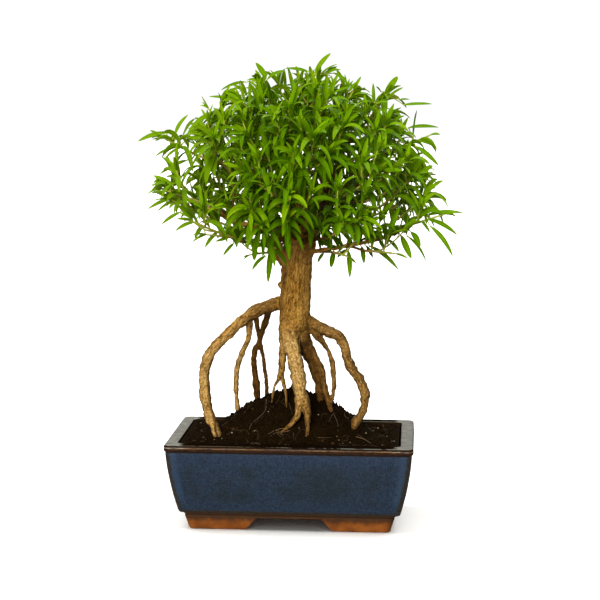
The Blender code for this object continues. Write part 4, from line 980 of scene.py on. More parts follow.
def make_fibres():
    """Hair roots that run over the soil and loose fibres in it."""
    bag = Bag("tone")
    rng = np.random.default_rng(5)
    named = [
        ([(266, 399), (266.5, 404), (265.6, 410), (263, 414), (257, 419), (252, 424), (249, 429)], 0.26, 0.15),
        ([(287, 427), (281, 429), (275, 431), (268, 434)], 0.16, 0.7),
        ([(290, 430), (284, 431), (279, 431), (273, 430)], 0.13, 0.8),
        ([(283, 434), (277, 433), (270, 436)], 0.12, 0.6),
        ([(334, 415), (337, 421), (338, 426), (338, 432)], 0.20, 0.1),
        ([(303, 388), (301, 394), (304, 399), (302, 404)], 0.14, 0.2),
        ([(356, 436), (364, 439), (370, 442), (376, 445)], 0.14, 0.9),
        ([(334, 414), (331, 418), (329, 421)], 0.2, 0.1),
        ([(247, 428), (240, 431), (233, 430)], 0.10, 0.5),
        ([(318, 436), (326, 438), (333, 436)], 0.10, 0.5),
        ([(222, 426), (229, 428), (236, 427)], 0.10, 0.5),
    ]
    runs = []
    for pixels, r, tone in named:
        pts = [on_soil(u, v) for u, v in pixels]
        runs.append(([(p[0], p[1]) for p in pts], r, tone))
    for k in range(84):
        x, y = rng.uniform(-60, 60), rng.uniform(-30, 30)
        a = rng.uniform(0, TAU)
        n = rng.integers(4, 8)
        pts, bend = [(x, y)], rng.normal(0, 0.35)
        for _ in range(n):
            a += bend + rng.normal(0, 0.25)
            x, y = x + math.cos(a) * 1.4, y + math.sin(a) * 1.4
            pts.append((x, y))
        if all(abs(px) < 64 and abs(py) < 32 for px, py in pts):
            runs.append((pts, rng.uniform(0.05, 0.11), rng.uniform(0.0, 0.5)))
    for pts, r, tone in runs:
        path = []
        for i, (x, y) in enumerate(pts):
            sink = -r * 1.2 if i in (0, len(pts) - 1) else r * (0.6 + 0.9 * rng.random())
            path.append((x, y, soil_top(x, y) + sink + 0.12, r * (1.0 if i else 1.2) * (1.0 - 0.45 * i / (len(pts) - 1))))
        path = smooth_path(path, 4)
        # a fibre lies over the crumbs and doesn't dive through them
        for row in path[2:-2]:
            row[2] = max(row[2], soil_top(row[0], row[1]) + row[3] * 0.5)
        v, q, t = tube_parts(path, 6)
        bag.add(v, q, t, tone=tone)
    paint = Paint("fibre")
    p = paint.place()
    tone = paint.attribute("tone")
    base = paint.mix(tone, lin(58, 40, 20), lin(150, 116, 70))
    base = paint.mix(paint.math("MULTIPLY", paint.noise(p, 1.4, 3.0), 0.6), base, lin(40, 27, 13))
    paint.set(Base_Color=base, Roughness=0.75, Normal=paint.bump(paint.noise(p, 3.0, 3.0), 0.4, 0.0002))
    obj = bag.make("soil_fibres", [paint.mat])
    finish_piece(obj, "potting_soil")


# ---------------------------------------------------------------------------
# wood: the same limbs as the frame's, finer
# ---------------------------------------------------------------------------
CANOPY = (2.0, 6.0, 190.0)
CANOPY_X, CANOPY_Y, CANOPY_UP, CANOPY_DOWN = 80.0, 73.0, 83.0, 20.0
SHOOTS, SHOOT_LENGTH, STEM_RADIUS = 55, 36.0, 0.72
LEAF_LENGTH, LEAF_WIDTH, PAIRS = 20.0, 4.6, 5
ROOTS = {
    "arch_left": [(-1, 6, 137, 5), (-8, 5.4, 135.5, 4.5), (-16, 3.2, 133.5, 4.1), (-26, 0.8, 129.2, 3.8), (-34.4, -1, 122.5, 3.4),
                  (-46.5, -2.5, 110.6, 3.2), (-53.0, -3, 101.2, 3.4), (-55.6, -3.5, 90, 3.4), (-55, -3.5, 78.5, 3.3),
                  (-52.3, -3.5, 64.6, 3.1), (-48, -4, 55.8, 2.6), (-44.5, -4.3, 49.5, 2.0), (-41.5, -4.5, 44, 1.4)],
    "left_outer": [(-27.4, 1, 128, 2.2), (-28.2, 6, 114.2, 2.1), (-31.2, 9, 106.6, 1.9), (-34.7, 12, 98.6, 1.9),
                   (-37.1, 15, 90, 1.9), (-37.7, 17, 81.3, 1.9), (-37.7, 18, 71.3, 1.9), (-36.7, 19, 63.3, 1.8), (-35, 20, 53, 1.3)],
    "left_thin": [(-23.5, 2, 129, 1.7), (-22.6, 10, 113.6, 1.4), (-20.5, 15, 100, 1.4), (-19.5, 17.2, 90.4, 1.3),
                  (-18.4, 18.5, 81, 1.3), (-18.6, 19.5, 74.5, 1.3), (-18.8, 20, 63, 1.0)],
    "left_inner": [(-15.2, 3, 132, 2.2), (-18, 9, 123.3, 2.0), (-22.5, 12.2, 109.3, 1.9), (-25.4, 13.5, 103.9, 1.9),
                   (-26.3, 15, 96.7, 1.9), (-25.8, 17, 87.3, 1.9), (-25, 18, 78, 1.9), (-24, 18.5, 70.7, 1.8), (-23, 19, 58, 1.3)],
    "front_small": [(-3.6, 0, 130, 3.6), (-5.6, -1, 124.3, 3.2), (-6.0, -2.4, 117.6, 3.2), (-5.8, -3.2, 110.2, 2.9),
                    (-6.2, -3.6, 104, 2.7), (-6.6, -3.6, 98.3, 2.3), (-7.4, -3.4, 92.6, 2.1), (-9.2, -3.2, 88.1, 1.3),
                    (-11.1, -2.8, 84.2, 0.9), (-12.4, -2, 79.6, 0.7), (-13.2, -0.6, 74.2, 0.55),
                    (-13.3, 0.5, 68.2, 0.45)],
    "front_small_fork": [(-6.8, -3.6, 93.3, 1.7), (-6, -3.2, 87.5, 1.4), (-4.8, -3, 82.5, 1.1),
                         (-4.2, -3.4, 77.5, 0.8), (-3.8, -4.2, 71.9, 0.6), (-3.7, -5, 65.8, 0.5)],
    "front": [(0.6, 0.2, 131, 6), (-0.9, -1.4, 125, 5.8), (-2.5, -2.8, 119.6, 5.2), (-1.3, -4.6, 113.7, 4.7),
              (0.4, -6.6, 108.4, 4.6), (2.4, -9, 100.7, 4.5), (3.9, -11, 94.6, 4.5), (5.0, -13, 88.5, 4.5),
              (5.8, -14.5, 82.4, 4.3), (5.6, -15.4, 77.6, 3.6), (4.7, -16.2, 72.7, 2.7), (3.9, -16.5, 69, 2.3),
              (1.9, -16.9, 65.4, 1.9), (-0.7, -17.2, 62.4, 1.5), (-3.5, -17.4, 60.1, 1), (-6, -17.6, 57.8, 0.7),
              (-9.6, -18, 51.5, 0.5)],
    "front_fork": [(6, -14, 84.8, 2.6), (7.6, -14.8, 80, 2.6), (9.0, -15.5, 75.8, 2.4), (9.9, -16.3, 71.6, 2.2),
                   (10.2, -16.9, 66.7, 1.9), (10.4, -17.3, 62.4, 1.6), (10.2, -17.7, 58.1, 1.2),
                   (10.3, -18.2, 51, 0.8)],
    "right_back_a": [(2.8, 3, 122, 5.2), (4.7, 3, 113.8, 4.6), (6.7, 5, 107.2, 3.6), (8.9, 6, 101.6, 2.7),
                     (11, 6.5, 96.2, 2.2), (13.3, 6.2, 90.8, 2.1), (14.7, 5.8, 85, 2), (15.5, 5.2, 79.9, 2.1),
                     (16.7, 4.4, 75, 1.9), (18.3, 3.6, 70, 1.6), (19.8, 3, 63.8, 1.1)],
    "right_back_b": [(4, 3, 123, 5), (5.6, 4, 116.2, 4.2), (7.8, 5.4, 112.2, 3.4), (10.1, 6.2, 107.8, 2.7),
                     (13.2, 6.5, 101.9, 2.3), (15.9, 6.3, 96.3, 2.15), (17.6, 5.6, 91.3, 2), (18.9, 4.6, 85.3, 2),
                     (19.9, 3.6, 80.3, 2.1), (21.7, 2.2, 74.8, 1.8), (23.2, 1, 70, 1.5), (24.3, 0.5, 63.8, 1),
                     (25, 0, 58.5, 0.8)],
    "right_thin": [(5, 3.4, 123.5, 3.6), (9.6, 3.8, 120, 3.1), (13.9, 4.6, 116.4, 2.5), (18, 6.2, 110.9, 1.8), (20.8, 7, 106.4, 1.5), (22.6, 7, 102.3, 1.5),
                   (24, 6.6, 97.6, 1.5), (25, 5.8, 91.4, 1.5), (25.3, 4.6, 84.6, 1.5), (25, 3.4, 79.1, 1.5),
                   (24, 2.2, 74.2, 1.4), (22.7, 1.2, 69.3, 1), (22.3, 1, 62.5, 0.8)],
    "arch_right": [(1.5, 2.5, 130.5, 5.5), (7, 3.2, 126.8, 4.6), (12.5, 4, 122.8, 4.2), (20.8, 4.5, 118.2, 3.4),
                   (27.6, 5, 115, 3.3), (31.6, 5, 109, 3.2), (33.2, 5, 102.4, 3.1), (35.8, 5, 95.5, 3.0),
                   (41.0, 5, 88, 3.1), (44.3, 4.5, 80.5, 3.0), (44.9, 4, 73.8, 2.8), (43.4, 3.2, 68, 2.75),
                   (40.3, 1.6, 62.8, 2.6), (37.6, -0.6, 58.2, 2.2), (35.8, -2.4, 54.4, 1.5), (34.2, -3.8, 49.5, 1)],
    "back_small": [(1, 4.5, 120, 4), (1.2, 8, 108.5, 3.2), (1.9, 11, 99.7, 2.2), (1.4, 13, 91.6, 1.8),
                   (0.4, 14, 85, 1.7), (-0.8, 14.4, 79.8, 1.7), (-1.9, 14.6, 74.5, 1.5), (-3.2, 15, 65.4, 0.9)],
    "back": [(2.5, 5, 121, 4.2), (4.6, 8, 113, 3.7), (9.1, 12, 103.5, 3), (13.8, 17, 92.4, 2.5),
             (15.5, 20, 84.1, 2.2), (16.1, 22, 77.2, 2), (16.3, 23.5, 70.4, 1.6), (16.6, 24.5, 62.4, 1.1),
             (16.8, 25.2, 55.5, 0.8)],
}
TRUNK = [(-1.0, -1.6, 111, 4.2), (-0.8, -0.4, 116, 6.2), (0.2, 1.0, 123, 8.6), (1.2, 2.0, 133, 9.8), (1.5, 2.5, 146, 9.5), (1.8, 2.6, 156, 9.6),
         (2.6, 2.8, 165, 9.0), (4.2, 3.2, 173, 7.4), (5.0, 3.8, 182, 6.3), (5.2, 4.6, 194, 5.3), (3.5, 5.5, 208, 4.2), (4, 6, 224, 2.8)]
LIMB_RIGHT = [(4, 1, 164.5, 2.6), (9, -2, 167.2, 2.1), (14, -5, 168.9, 1.7), (33, -9, 172.6, 1.4), (54, -11, 177.6, 1.25), (70, -12, 184.5, 1.1)]
LIMB_LEFT = [(0, 1, 157, 3.6), (-6, -0.6, 163, 3.5), (-8.8, -1.8, 169, 3.2), (-10.2, -2.6, 176, 2.8), (-15, -4, 182, 2.3),
             (-32, -6.5, 186.5, 1.8), (-54, -8, 196, 1.2)]
LIMB_DARK = [(5, 5, 158, 3.8), (9.2, 6.4, 166.5, 3.4), (11.6, 7.6, 175, 2.9), (13.4, 9, 184, 2.6), (17.4, 10, 197, 1.9), (22, 12, 212, 1.3)]
KNOBS = [((-8.6, -1.4, 166.4), (-12.0, -2.8, 162.6), 1.5, 0.6), ((-5.6, 0, 146.4), (-8.8, -1.2, 148.6), 2.2, 1.1),
         ((8.0, -1, 158.8), (11.7, -1.8, 159.6), 1.8, 0.9)]
LEADERS = [
    ((-25, -21, 168), (-0.55, -0.6, -0.12), 19.0),
    ((36, -27, 168), (0.45, -0.7, -0.15), 19.0),
    ((64, -29, 170), (0.60, -0.5, -0.10), 24.0),
    ((-81, -2, 239), (-0.72, 0.0, 0.62)),
    ((-79, -10, 207), (-0.80, -0.1, 0.42)),
    ((-19, -1, 271), (-0.12, -0.1, 1.0)),
    ((15, -1, 275), (0.08, -0.1, 1.0)),
    ((57, 3, 265), (0.28, -0.1, 0.95)),
    ((93, -12, 193), (0.85, -0.1, 0.40)),
    ((84, 2, 240), (0.80, 0.0, 0.50)),
    ((-52, 0, 256), (-0.45, 0.0, 0.85)),
    ((-52, -16, 180), (-0.62, -0.25, 0.10)),
    ((0, 12, 270), (0.0, 0.1, 1.0)),
    ((37, 1, 267), (0.25, -0.1, 0.95)),
    # the ones that face the front
    ((-49, -26, 239), (-0.20, -0.30, 0.95)),
    ((0, -34, 256), (0.0, -0.22, 1.0)),
    ((-25, -53, 221), (-0.50, -0.32, 0.80)),
    ((16, -48, 240), (0.08, -0.35, 0.95)),
    ((33, -35, 248), (0.14, -0.30, 0.95)),
    ((57, -20, 247), (0.10, -0.25, 0.95)),
    ((74, -15, 217), (0.40, -0.25, 0.85)),
    ((3, -62, 207), (0.08, -0.45, 0.88)),
    ((84, -4, 207), (0.45, -0.20, 0.85)),
]


def dome(direction):
    d = unit(direction)
    up = CANOPY_UP if d[2] > 0 else CANOPY_DOWN
    r = 1.0 / math.sqrt((d[0] / CANOPY_X) ** 2 + (d[1] / CANOPY_Y) ** 2 + (d[2] / up) ** 2)
    return np.array(CANOPY) + d * r


def shoot_frames():
    """Base, bend and tip of every leafy shoot, as in the frame."""
    tips = [np.array(row[0], float) for row in LEADERS]
    grows = [unit(row[1]) for row in LEADERS]
    short = {i: row[2] for i, row in enumerate(LEADERS) if len(row) > 2}
    k, outer = 0, SHOOTS - 6
    while len(tips) < outer:
        z = 0.97 - 1.25 * (k + 0.5) / 50.0
        if z < -0.30:
            break
        a = GOLDEN * k + 0.6
        flat = math.sqrt(max(0.0, 1 - z * z))
        d = np.array([flat * math.cos(a), flat * math.sin(a), z])
        tip = dome(d) * 1.0
        k += 1
        if min(np.linalg.norm(tip - other) for other in tips) < 21.0:
            continue
        tips.append(tip)
        grows.append(unit(d * np.array([1.0, 1.0, 0.55]) + np.array([0, 0, 0.62 if z > -0.05 else 0.30])))
    k = 0
    outer = len(tips)
    want = outer + 6
    while len(tips) < want:
        z = 0.80 - 1.05 * (k + 0.5) / (want - outer)
        a = GOLDEN * k + 2.1
        flat = math.sqrt(max(0.0, 1 - z * z))
        d = np.array([flat * math.cos(a), flat * math.sin(a), z])
        tips.append(np.array(CANOPY) + (dome(d) - np.array(CANOPY)) * 0.60)
        grows.append(unit(d * np.array([1.0, 1.0, 0.5]) + np.array([0, 0, 0.5])))
        k += 1
    frames = []
    for i, (tip, grow) in enumerate(zip(tips, grows)):
        length = short.get(i, SHOOT_LENGTH * (0.88 + 0.24 * hash01(i, 3)))
        level = unit(np.array([grow[0], grow[1], 0.12]))
        base = tip - grow * length * 0.55 - level * length * 0.45
        bend = base + unit(0.6 * level + 0.4 * grow) * length * 0.5
        frames.append((base, bend, tip, length))
    return frames


def limb_paths(frames):
    """Main limbs by name, the lesser limbs, then one twig to the base of every shoot, as in the frame."""
    top = np.array([2.3, 3.6, 183.0])
    main = {"right": smooth_path(LIMB_RIGHT, 2), "left": smooth_path(LIMB_LEFT, 1), "dark": smooth_path(LIMB_DARK, 1)}
    directions = {"right": unit((70, -13, 3)), "left": unit((-56, -10, 14)), "dark": unit((18, 8, 30))}
    for rise, azimuths in ((0.18, (40, 88, 135, 205, 250, 300, 335)), (0.75, (20, 95, 165, 235, 310))):
        for a in azimuths:
            directions["%02d_%03d" % (int(rise * 100), a)] = unit((math.cos(math.radians(a)), math.sin(math.radians(a)), rise))
    directions["leader"] = np.array([0.0, 0.0, 1.0])
    members = {}
    for i, (base, _, _, _) in enumerate(frames):
        towards = unit(base - top)
        name = max(directions, key=lambda n: float(np.dot(directions[n], towards)) + (0.04 if n in ("right", "left") else 0.0))
        members.setdefault(name, []).append(i)
    paths, twigs = [], {}
    for name, inside in sorted(members.items()):
        bases = [frames[i][0] for i in inside]
        mean = sum(bases) / len(bases)
        if name == "leader":
            path = smooth_path(TRUNK, 2)
        elif name in main:
            path = main[name]
        else:
            rise = directions[name][2]
            foot = np.array([2.0, 3.4, 172.0 + 16.0 * rise + 3.0 * math.sin(len(paths) * 2.3)])
            end = foot + (mean - foot) * 0.72
            thick = 2.0 + 0.32 * len(inside)
            side = any_side(unit(end - foot))
            mid1 = foot + (end - foot) * 0.35 + side * 1.8 * math.sin(3.1 * len(paths)) + AXIS_Z * (2.0 - 3.0 * rise)
            mid2 = foot + (end - foot) * 0.70 - side * 1.6 * math.sin(3.1 * len(paths)) + AXIS_Z * (1.2 - 2.0 * rise)
            path = smooth_path([(*foot, thick), (*mid1, thick * 0.8), (*mid2, thick * 0.62), (*end, thick * 0.45)], 2)
            paths.append(path)
        for i in inside:
            base, bend, _, _ = frames[i]
            into = unit(bend - base)
            aim = base - into * 14.0
            inner = path[1:-1] if len(path) > 3 else path
            near = min(range(len(inner)), key=lambda n: np.linalg.norm(inner[n][:3] - aim) + 6.0 * hash01(i, n))
            start = inner[near]
            along = unit(path[min(near + 2, len(path) - 1)][:3] - path[near][:3])
            span = np.linalg.norm(base - start[:3])
            end = base
            c1 = start[:3] + along * span * 0.30
            c2 = end - into * min(12.0, span * 0.35)
            thick0, thick1 = min(start[3] * 0.7, 1.05 if base[2] > 200.0 else 0.85), STEM_RADIUS
            steps = max(6, int(span / 2.2))
            rows = []
            for n in range(steps + 1):
                t = n / steps
                p = start[:3] * (1 - t) ** 3 + 3 * c1 * t * (1 - t) ** 2 + 3 * c2 * t * t * (1 - t) + end * t ** 3
                rows.append((*p, thick0 + (thick1 - thick0) * t))
            twigs[i] = np.array(rows)
    return main, paths, twigs


def bark_paint(name):
    paint = Paint(name)
    tree = paint.tree
    # a coordinate that follows each limb: two across it, one along it
    limb = tree.nodes.new("ShaderNodeCombineXYZ")
    paint.put(limb.inputs[0], paint.attribute("across_u"))
    paint.put(limb.inputs[1], paint.attribute("across_v"))
    paint.put(limb.inputs[2], paint.attribute("along"))
    limb = limb.outputs[0]
    p = paint.place()
    rooty = paint.attribute("rooty")
    young = paint.attribute("young")
    crown_shade = paint.attribute("crown_shade")
    low = paint.attribute("low")
    light = paint.attribute("light")
    crease_shade = paint.attribute("crease_shade")
    seam = paint.attribute("seam")
    # long fissures on the trunk, shorter flakes on the roots, and an even grain where limbs meet
    def grain(along, size, detail, bend=0.25):
        run = paint.noise(paint.scaled(limb, 1.0, 1.0, along), size, detail, 0.72, bend)
        flat = paint.noise(p, size * 0.8, detail, 0.72, bend)
        return paint.add("ShaderNodeMix", {0: seam, 2: run, 3: flat}, data_type="FLOAT")

    long_grain = grain(0.20, 0.80, 5.0)
    short_grain = grain(0.34, 0.62, 6.0)
    mottle = grain(0.80, 0.95, 6.0, 0.4)
    hair = grain(0.16, 2.2, 4.0)
    fine = paint.noise(p, 2.6, 5.0, 0.75)
    broad = paint.noise(p, 0.13, 3.0, 0.55)
    cracks = paint.math("ABSOLUTE", paint.math("SUBTRACT", grain(0.30, 0.75, 3.0, 0.6), 0.5))
    cracks = paint.math("MULTIPLY", paint.step(cracks, 0.030, 0.004), paint.step(mottle, 0.56, 0.44))
    trunk = paint.mix(paint.step(long_grain, 0.36, 0.64), lin(124, 79, 15), lin(222, 164, 72))
    trunk = paint.mix(paint.math("MULTIPLY", paint.step(broad, 0.50, 0.66), 0.45), trunk, lin(226, 174, 86))
    trunk = paint.mix(paint.math("MULTIPLY", paint.step(hair, 0.47, 0.34), 0.42), trunk, lin(84, 50, 12))
    trunk = paint.mix(paint.math("MULTIPLY", paint.step(mottle, 0.42, 0.33), 0.45), trunk, lin(96, 58, 14))
    root = paint.mix(paint.step(short_grain, 0.36, 0.62), lin(122, 74, 10), lin(242, 184, 94))
    pale = paint.math("MULTIPLY", paint.step(mottle, 0.50, 0.60), paint.step(fine, 0.38, 0.56))
    root = paint.mix(paint.math("MULTIPLY", pale, 0.75), root, lin(250, 212, 140))
    root = paint.mix(paint.math("MULTIPLY", paint.step(mottle, 0.43, 0.33), 0.55), root, lin(92, 54, 12))
    root = paint.mix(paint.math("MULTIPLY", paint.step(fine, 0.40, 0.28), 0.6), root, lin(70, 40, 8))
    colour = paint.mix(rooty, trunk, root)
    colour = paint.mix(paint.math("MULTIPLY", cracks, 0.85), colour, lin(46, 25, 4))
    shade = paint.mix(paint.step(short_grain, 0.36, 0.64), lin(44, 24, 4), lin(116, 72, 20))
    colour = paint.mix(paint.step(light, 0.75, 0.0, False), colour, shade)
    # painted shade on the wood inside the leafy head
    colour = paint.mix(paint.math("MULTIPLY", crown_shade, 0.8), colour, lin(44, 25, 7))
    # painted light: a light skin colour on the trunk under the head
    skin = paint.mix(paint.step(long_grain, 0.36, 0.64), lin(172, 110, 32), lin(246, 190, 94))
    colour = paint.mix(paint.math("MULTIPLY", paint.attribute("lit_upper_trunk"), 0.92), colour, skin)
    colour = paint.mix(paint.math("MULTIPLY", low, 0.6), colour, lin(90, 50, 14))
    # painted shade on undersides and on the sides of the roots
    colour = paint.mix(paint.math("MULTIPLY", paint.attribute("below"), 0.70), colour, lin(62, 34, 0))
    # painted highlight on the fronts of the front root and the great arch
    highlight_tan = paint.mix(paint.step(mottle, 0.36, 0.58), lin(196, 134, 50), lin(255, 218, 142))
    highlight_mask = paint.math("MULTIPLY", paint.attribute("pale"), paint.step(paint.noise(paint.scaled(limb, 1.0, 1.0, 0.5), 0.42, 4.0, 0.6), 0.40, 0.60))
    colour = paint.mix(paint.math("MULTIPLY_ADD", paint.attribute("pale"), 0.21, paint.math("MULTIPLY", highlight_mask, 0.56)), colour, highlight_tan)
    # painted shade down the trunk's left side
    colour = paint.mix(paint.math("MULTIPLY", paint.attribute("left_side_shade"), 0.60), colour, lin(92, 56, 14))
    # painted shade in creases and furrows
    colour = paint.mix(paint.math("MULTIPLY", crease_shade, 0.9), colour, lin(30, 16, 4))
    speckle = paint.math("MULTIPLY", paint.step(paint.noise(p, 1.5, 4.0, 0.75), 0.45, 0.36), rooty)
    colour = paint.mix(paint.math("MULTIPLY", speckle, 0.45), colour, lin(84, 46, 8))
    fresh = paint.mix(paint.step(fine, 0.3, 0.7), lin(112, 80, 22), lin(170, 126, 56))
    colour = paint.mix(young, colour, fresh)
    if name == "twig_bark":
        colour = paint.mix(0.5, colour, paint.mix(fine, lin(52, 46, 10), lin(112, 96, 32)))
    height = paint.math("ADD", paint.math("MULTIPLY", short_grain, 0.9), paint.math("MULTIPLY", fine, 0.45))
    height = paint.math("ADD", height, paint.math("MULTIPLY", hair, 0.4))
    height = paint.math("SUBTRACT", height, paint.math("MULTIPLY", cracks, 0.5))
    paint.set(Base_Color=colour, Roughness=paint.math("MULTIPLY_ADD", fine, 0.25, 0.42), Normal=paint.bump(height, 1.0, 0.0014))
    paint.shader.inputs["Specular IOR Level"].default_value = 0.32
    paint.shader.inputs["Specular Tint"].default_value = (1.0, 0.74, 0.30, 1.0)
    return paint.mat


def path_frames(path):
    """Direction, side and length so far at each point of a path."""
    centre = path[:, :3]
    tangents = np.gradient(centre, axis=0)
    side = any_side(unit(tangents[0]))
    out, run = [], 0.0
    for i, (c, t) in enumerate(zip(centre, tangents)):
        t = unit(t)
        side = unit(side - t * np.dot(side, t))
        if i:
            run += np.linalg.norm(c - centre[i - 1])
        out.append((t, side, np.cross(t, side), run))
    return out


# how light each root is, from black-brown in the shade (0) to bright golden tan (1)
ROOT_LIGHT = {"front": 1.0, "front_fork": 0.3, "arch_left": 0.95, "arch_right": 0.42, "left_outer": 1.0, "front_small": 0.45,
              "front_small_fork": 0.5, "right_thin": 0.3, "left_inner": 0.0, "left_thin": 0.08, "right_back_a": 0.08,
              "right_back_b": 0.16, "back": 0.1, "back_small": 0.05}


# furrows at the foot of the trunk, as lines in the photograph's frame, with their half width there
FURROWS = [([(298.8, 339), (300.0, 345), (302.5, 355)], 1.1)]


def make_trunk(main):
    """Trunk, exposed roots and the three lowest limbs, melted into one skin and then carved."""
    limbs = []  # path, how root-like, how light

    def knotty(path, amount, seed):
        """Uneven thickness and a slightly crooked run."""
        path = path.copy()
        run = 0.0
        for k, row in enumerate(path):
            if k:
                run += np.linalg.norm(row[:3] - before)
            before = row[:3].copy()
            r = row[3]
            q = Vector((run * 0.10 + seed * 7.1, seed * 3.3, 0.5))
            q2 = Vector((run * 0.27 + seed * 5.1, seed * 1.3, 9.5))
            row[3] *= 1.0 + amount * noise.noise(q) + amount * 0.8 * noise.noise(q2)
            bend = min(0.5, 0.16 * r) * (1.0 if amount > 0.1 else 0.0)
            row[:3] += bend * np.array([noise.noise(q2 + Vector((3, 0, 0))), noise.noise(q2 + Vector((0, 3, 0))), 0.0])
        return path

    limbs.append((knotty(smooth_path(TRUNK, 6), 0.05, 1), 0.0, 0.85))
    for n, (name, rows) in enumerate(sorted(ROOTS.items())):
        limbs.append((knotty(smooth_path(rows, 6), 0.24, n + 2), 1.0, ROOT_LIGHT[name]))
    limbs.append((knotty(smooth_path(LIMB_RIGHT, 10), 0.2, 31), 0.25, 0.5))
    limbs.append((knotty(smooth_path(LIMB_LEFT, 8), 0.2, 32), 0.1, 0.5))
    limbs.append((knotty(smooth_path(LIMB_DARK, 8), 0.2, 33), 0.0, 0.1))
    bag = Bag()
    for path, _, _ in limbs:
        v, q, t = tube_parts(path, 28 if path[:, 3].max() > 6 else 16)
        bag.add(v, q, t)
    extras = [smooth_path([(*a, r0), (*((np.array(a) + np.array(b)) / 2), (r0 + r1) / 2 + 0.3), (*b, r1), (*(np.array(b) + (np.array(b) - np.array(a)) * 0.12), r1 * 0.4)], 4)
              for a, b, r0, r1 in KNOBS]
    # the two roots on the right flow out of the trunk's flank
    extras.append(smooth_path([(3.0, 2.2, 136, 6.4), (3.9, 2.2, 129, 6.4), (4.8, 2.6, 122.4, 5.6), (5.8, 3.8, 116.2, 4.3), (7.8, 5.4, 112.2, 3.3)], 5))
    # a collar where the right branch leaves the trunk, and buds and scars on roots and trunk
    extras.append(smooth_path([(9.0, -2.0, 167.0, 1.9), (10.6, -2.9, 167.8, 2.5), (12.2, -3.9, 168.4, 1.9)], 4))
    extras.append(smooth_path([(-56.0, -4, 97.6, 1.4), (-57.0, -4.4, 97.8, 1.1), (-57.5, -4.5, 97.8, 0.6)], 3))
    extras.append(smooth_path([(-8.8, -4.6, 87.0, 1.0), (-9.9, -5.0, 87.6, 0.8), (-10.5, -5.2, 87.9, 0.4)], 3))
    extras.append(smooth_path([(36.4, 3.0, 100.6, 1.3), (37.2, 2.2, 100.9, 1.0), (37.6, 2.0, 101.0, 0.5)], 3))
    extras.append(smooth_path([(9.6, -0.6, 149.0, 1.9), (10.9, -0.9, 149.4, 1.3), (11.4, -1.0, 149.5, 0.6)], 3))
    # the split ends of the two arching roots
    extras.append(smooth_path([(-51.2, -4.6, 62.0, 2.3), (-49.6, -6.6, 57.0, 1.7), (-47.6, -7.8, 51.5, 1.1)], 4))
    extras.append(smooth_path([(39.6, 1.0, 62.0, 2.0), (37.0, -1.6, 57.0, 1.5), (35.6, -2.8, 51.5, 1.0)], 4))
    for path in extras:
        v, q, t = tube_parts(path, 12)
        bag.add(v, q, t)
    obj = bag.make("trunk_and_roots", [])
    remesh = obj.modifiers.new("melt", "REMESH")
    remesh.mode, remesh.voxel_size, remesh.adaptivity = "VOXEL", 0.00046, 0.0
    smooth = obj.modifiers.new("soften", "SMOOTH")
    smooth.factor, smooth.iterations = 0.5, 4
    evaluated(obj)
    mesh = obj.data
    n = len(mesh.vertices)
    co = np.zeros(n * 3, np.float32)
    mesh.vertices.foreach_get("co", co)
    co = co.reshape(-1, 3).astype(float) / MM - SHIFT
    ends = np.zeros(len(mesh.edges) * 2, np.int32)
    mesh.edges.foreach_get("vertices", ends)
    ends = ends.reshape(-1, 2)
    degree = np.bincount(ends.ravel(), minlength=n).astype(float)

    def relax(points, weight, times):
        for _ in range(times):
            mean = np.stack([np.bincount(ends[:, 0], points[ends[:, 1], k], n) + np.bincount(ends[:, 1], points[ends[:, 0], k], n) for k in range(points.shape[1])], axis=1)
            points = points + (mean / degree[:, None] - points) * weight[:, None]
        return points

    # which limb each point belongs to, and how near the next one is
    cen, rad, tan, sid, ovr, run, starts = [], [], [], [], [], [], []
    for index, (path, kind, light) in enumerate(limbs):
        starts.append(len(cen))
        for row, (t, s, o, length) in zip(path, path_frames(path)):
            cen.append(row[:3]); rad.append(row[3]); tan.append(t); sid.append(s); ovr.append(o); run.append(length + 37.0 * index)
    cen, rad, tan, sid, ovr, run = map(np.array, (cen, rad, tan, sid, ovr, run))
    best = np.zeros(n, int)
    near = np.zeros((n, len(limbs)))
    for a in range(0, n, 5000):
        d = np.linalg.norm(co[a:a + 5000, None, :] - cen[None], axis=2) - rad[None]
        best[a:a + 5000] = d.argmin(axis=1)
        near[a:a + 5000] = np.minimum.reduceat(d, starts, axis=1)
    order = np.sort(near, axis=1)
    gap = order[:, 1] - order[:, 0]
    share = np.exp(-(near - order[:, :1]) / 0.8)
    share /= share.sum(axis=1)[:, None]
    kind = share @ np.array([l[1] for l in limbs])
    light = share @ np.array([l[2] for l in limbs])
    seam = np.clip(1.0 - gap / 3.0, 0, 1)
    # fillets where limbs join
    co = relax(co, np.clip(1.0 - gap / 1.6, 0, 1) * 0.6, 9)
    rel = co - cen[best]
    u = (rel * sid[best]).sum(axis=1)
    v = (rel * ovr[best]).sum(axis=1)
    w = run[best] + (rel * tan[best]).sum(axis=1)
    mesh.vertices.foreach_set("co", ((co + SHIFT) * MM).astype(np.float32).ravel())
    mesh.update()
    no0 = np.zeros(n * 3, np.float32)
    mesh.vertices.foreach_get("normal", no0)
    no0 = no0.reshape(-1, 3).astype(float)
    # the trunk turns into root skin below its flare, and the roots into bark above it
    core = np.hypot(co[:, 0] - 1.5, co[:, 1] - 2)
    kind = np.clip(kind + np.clip((120.0 - co[:, 2]) / 12.0, 0, 1) * 0.6 * (core < 16), 0, 1)
    kind = kind * (1.0 - 0.75 * np.clip((co[:, 2] - 112.0) / 16.0, 0, 1) * np.clip((15.0 - core) / 4.0, 0, 1))
    light = np.clip(light, 0, 1)
    # painted shade on faces turned downwards below z 150, and below z 122 on every face that turns neither to the front
    # nor to the back
    below = np.clip(-no0[:, 2] * 1.5 - 0.15, 0, 1) * (co[:, 2] < 150)
    side_shade = np.clip((np.hypot(no0[:, 0], no0[:, 2]) - 0.42) * 2.2, 0, 1) * (co[:, 2] < 122)
    below = np.maximum(below * 0.8, side_shade * (1.0 - 0.5 * np.clip((co[:, 2] - 102.0) / 8.0, 0, 1)))
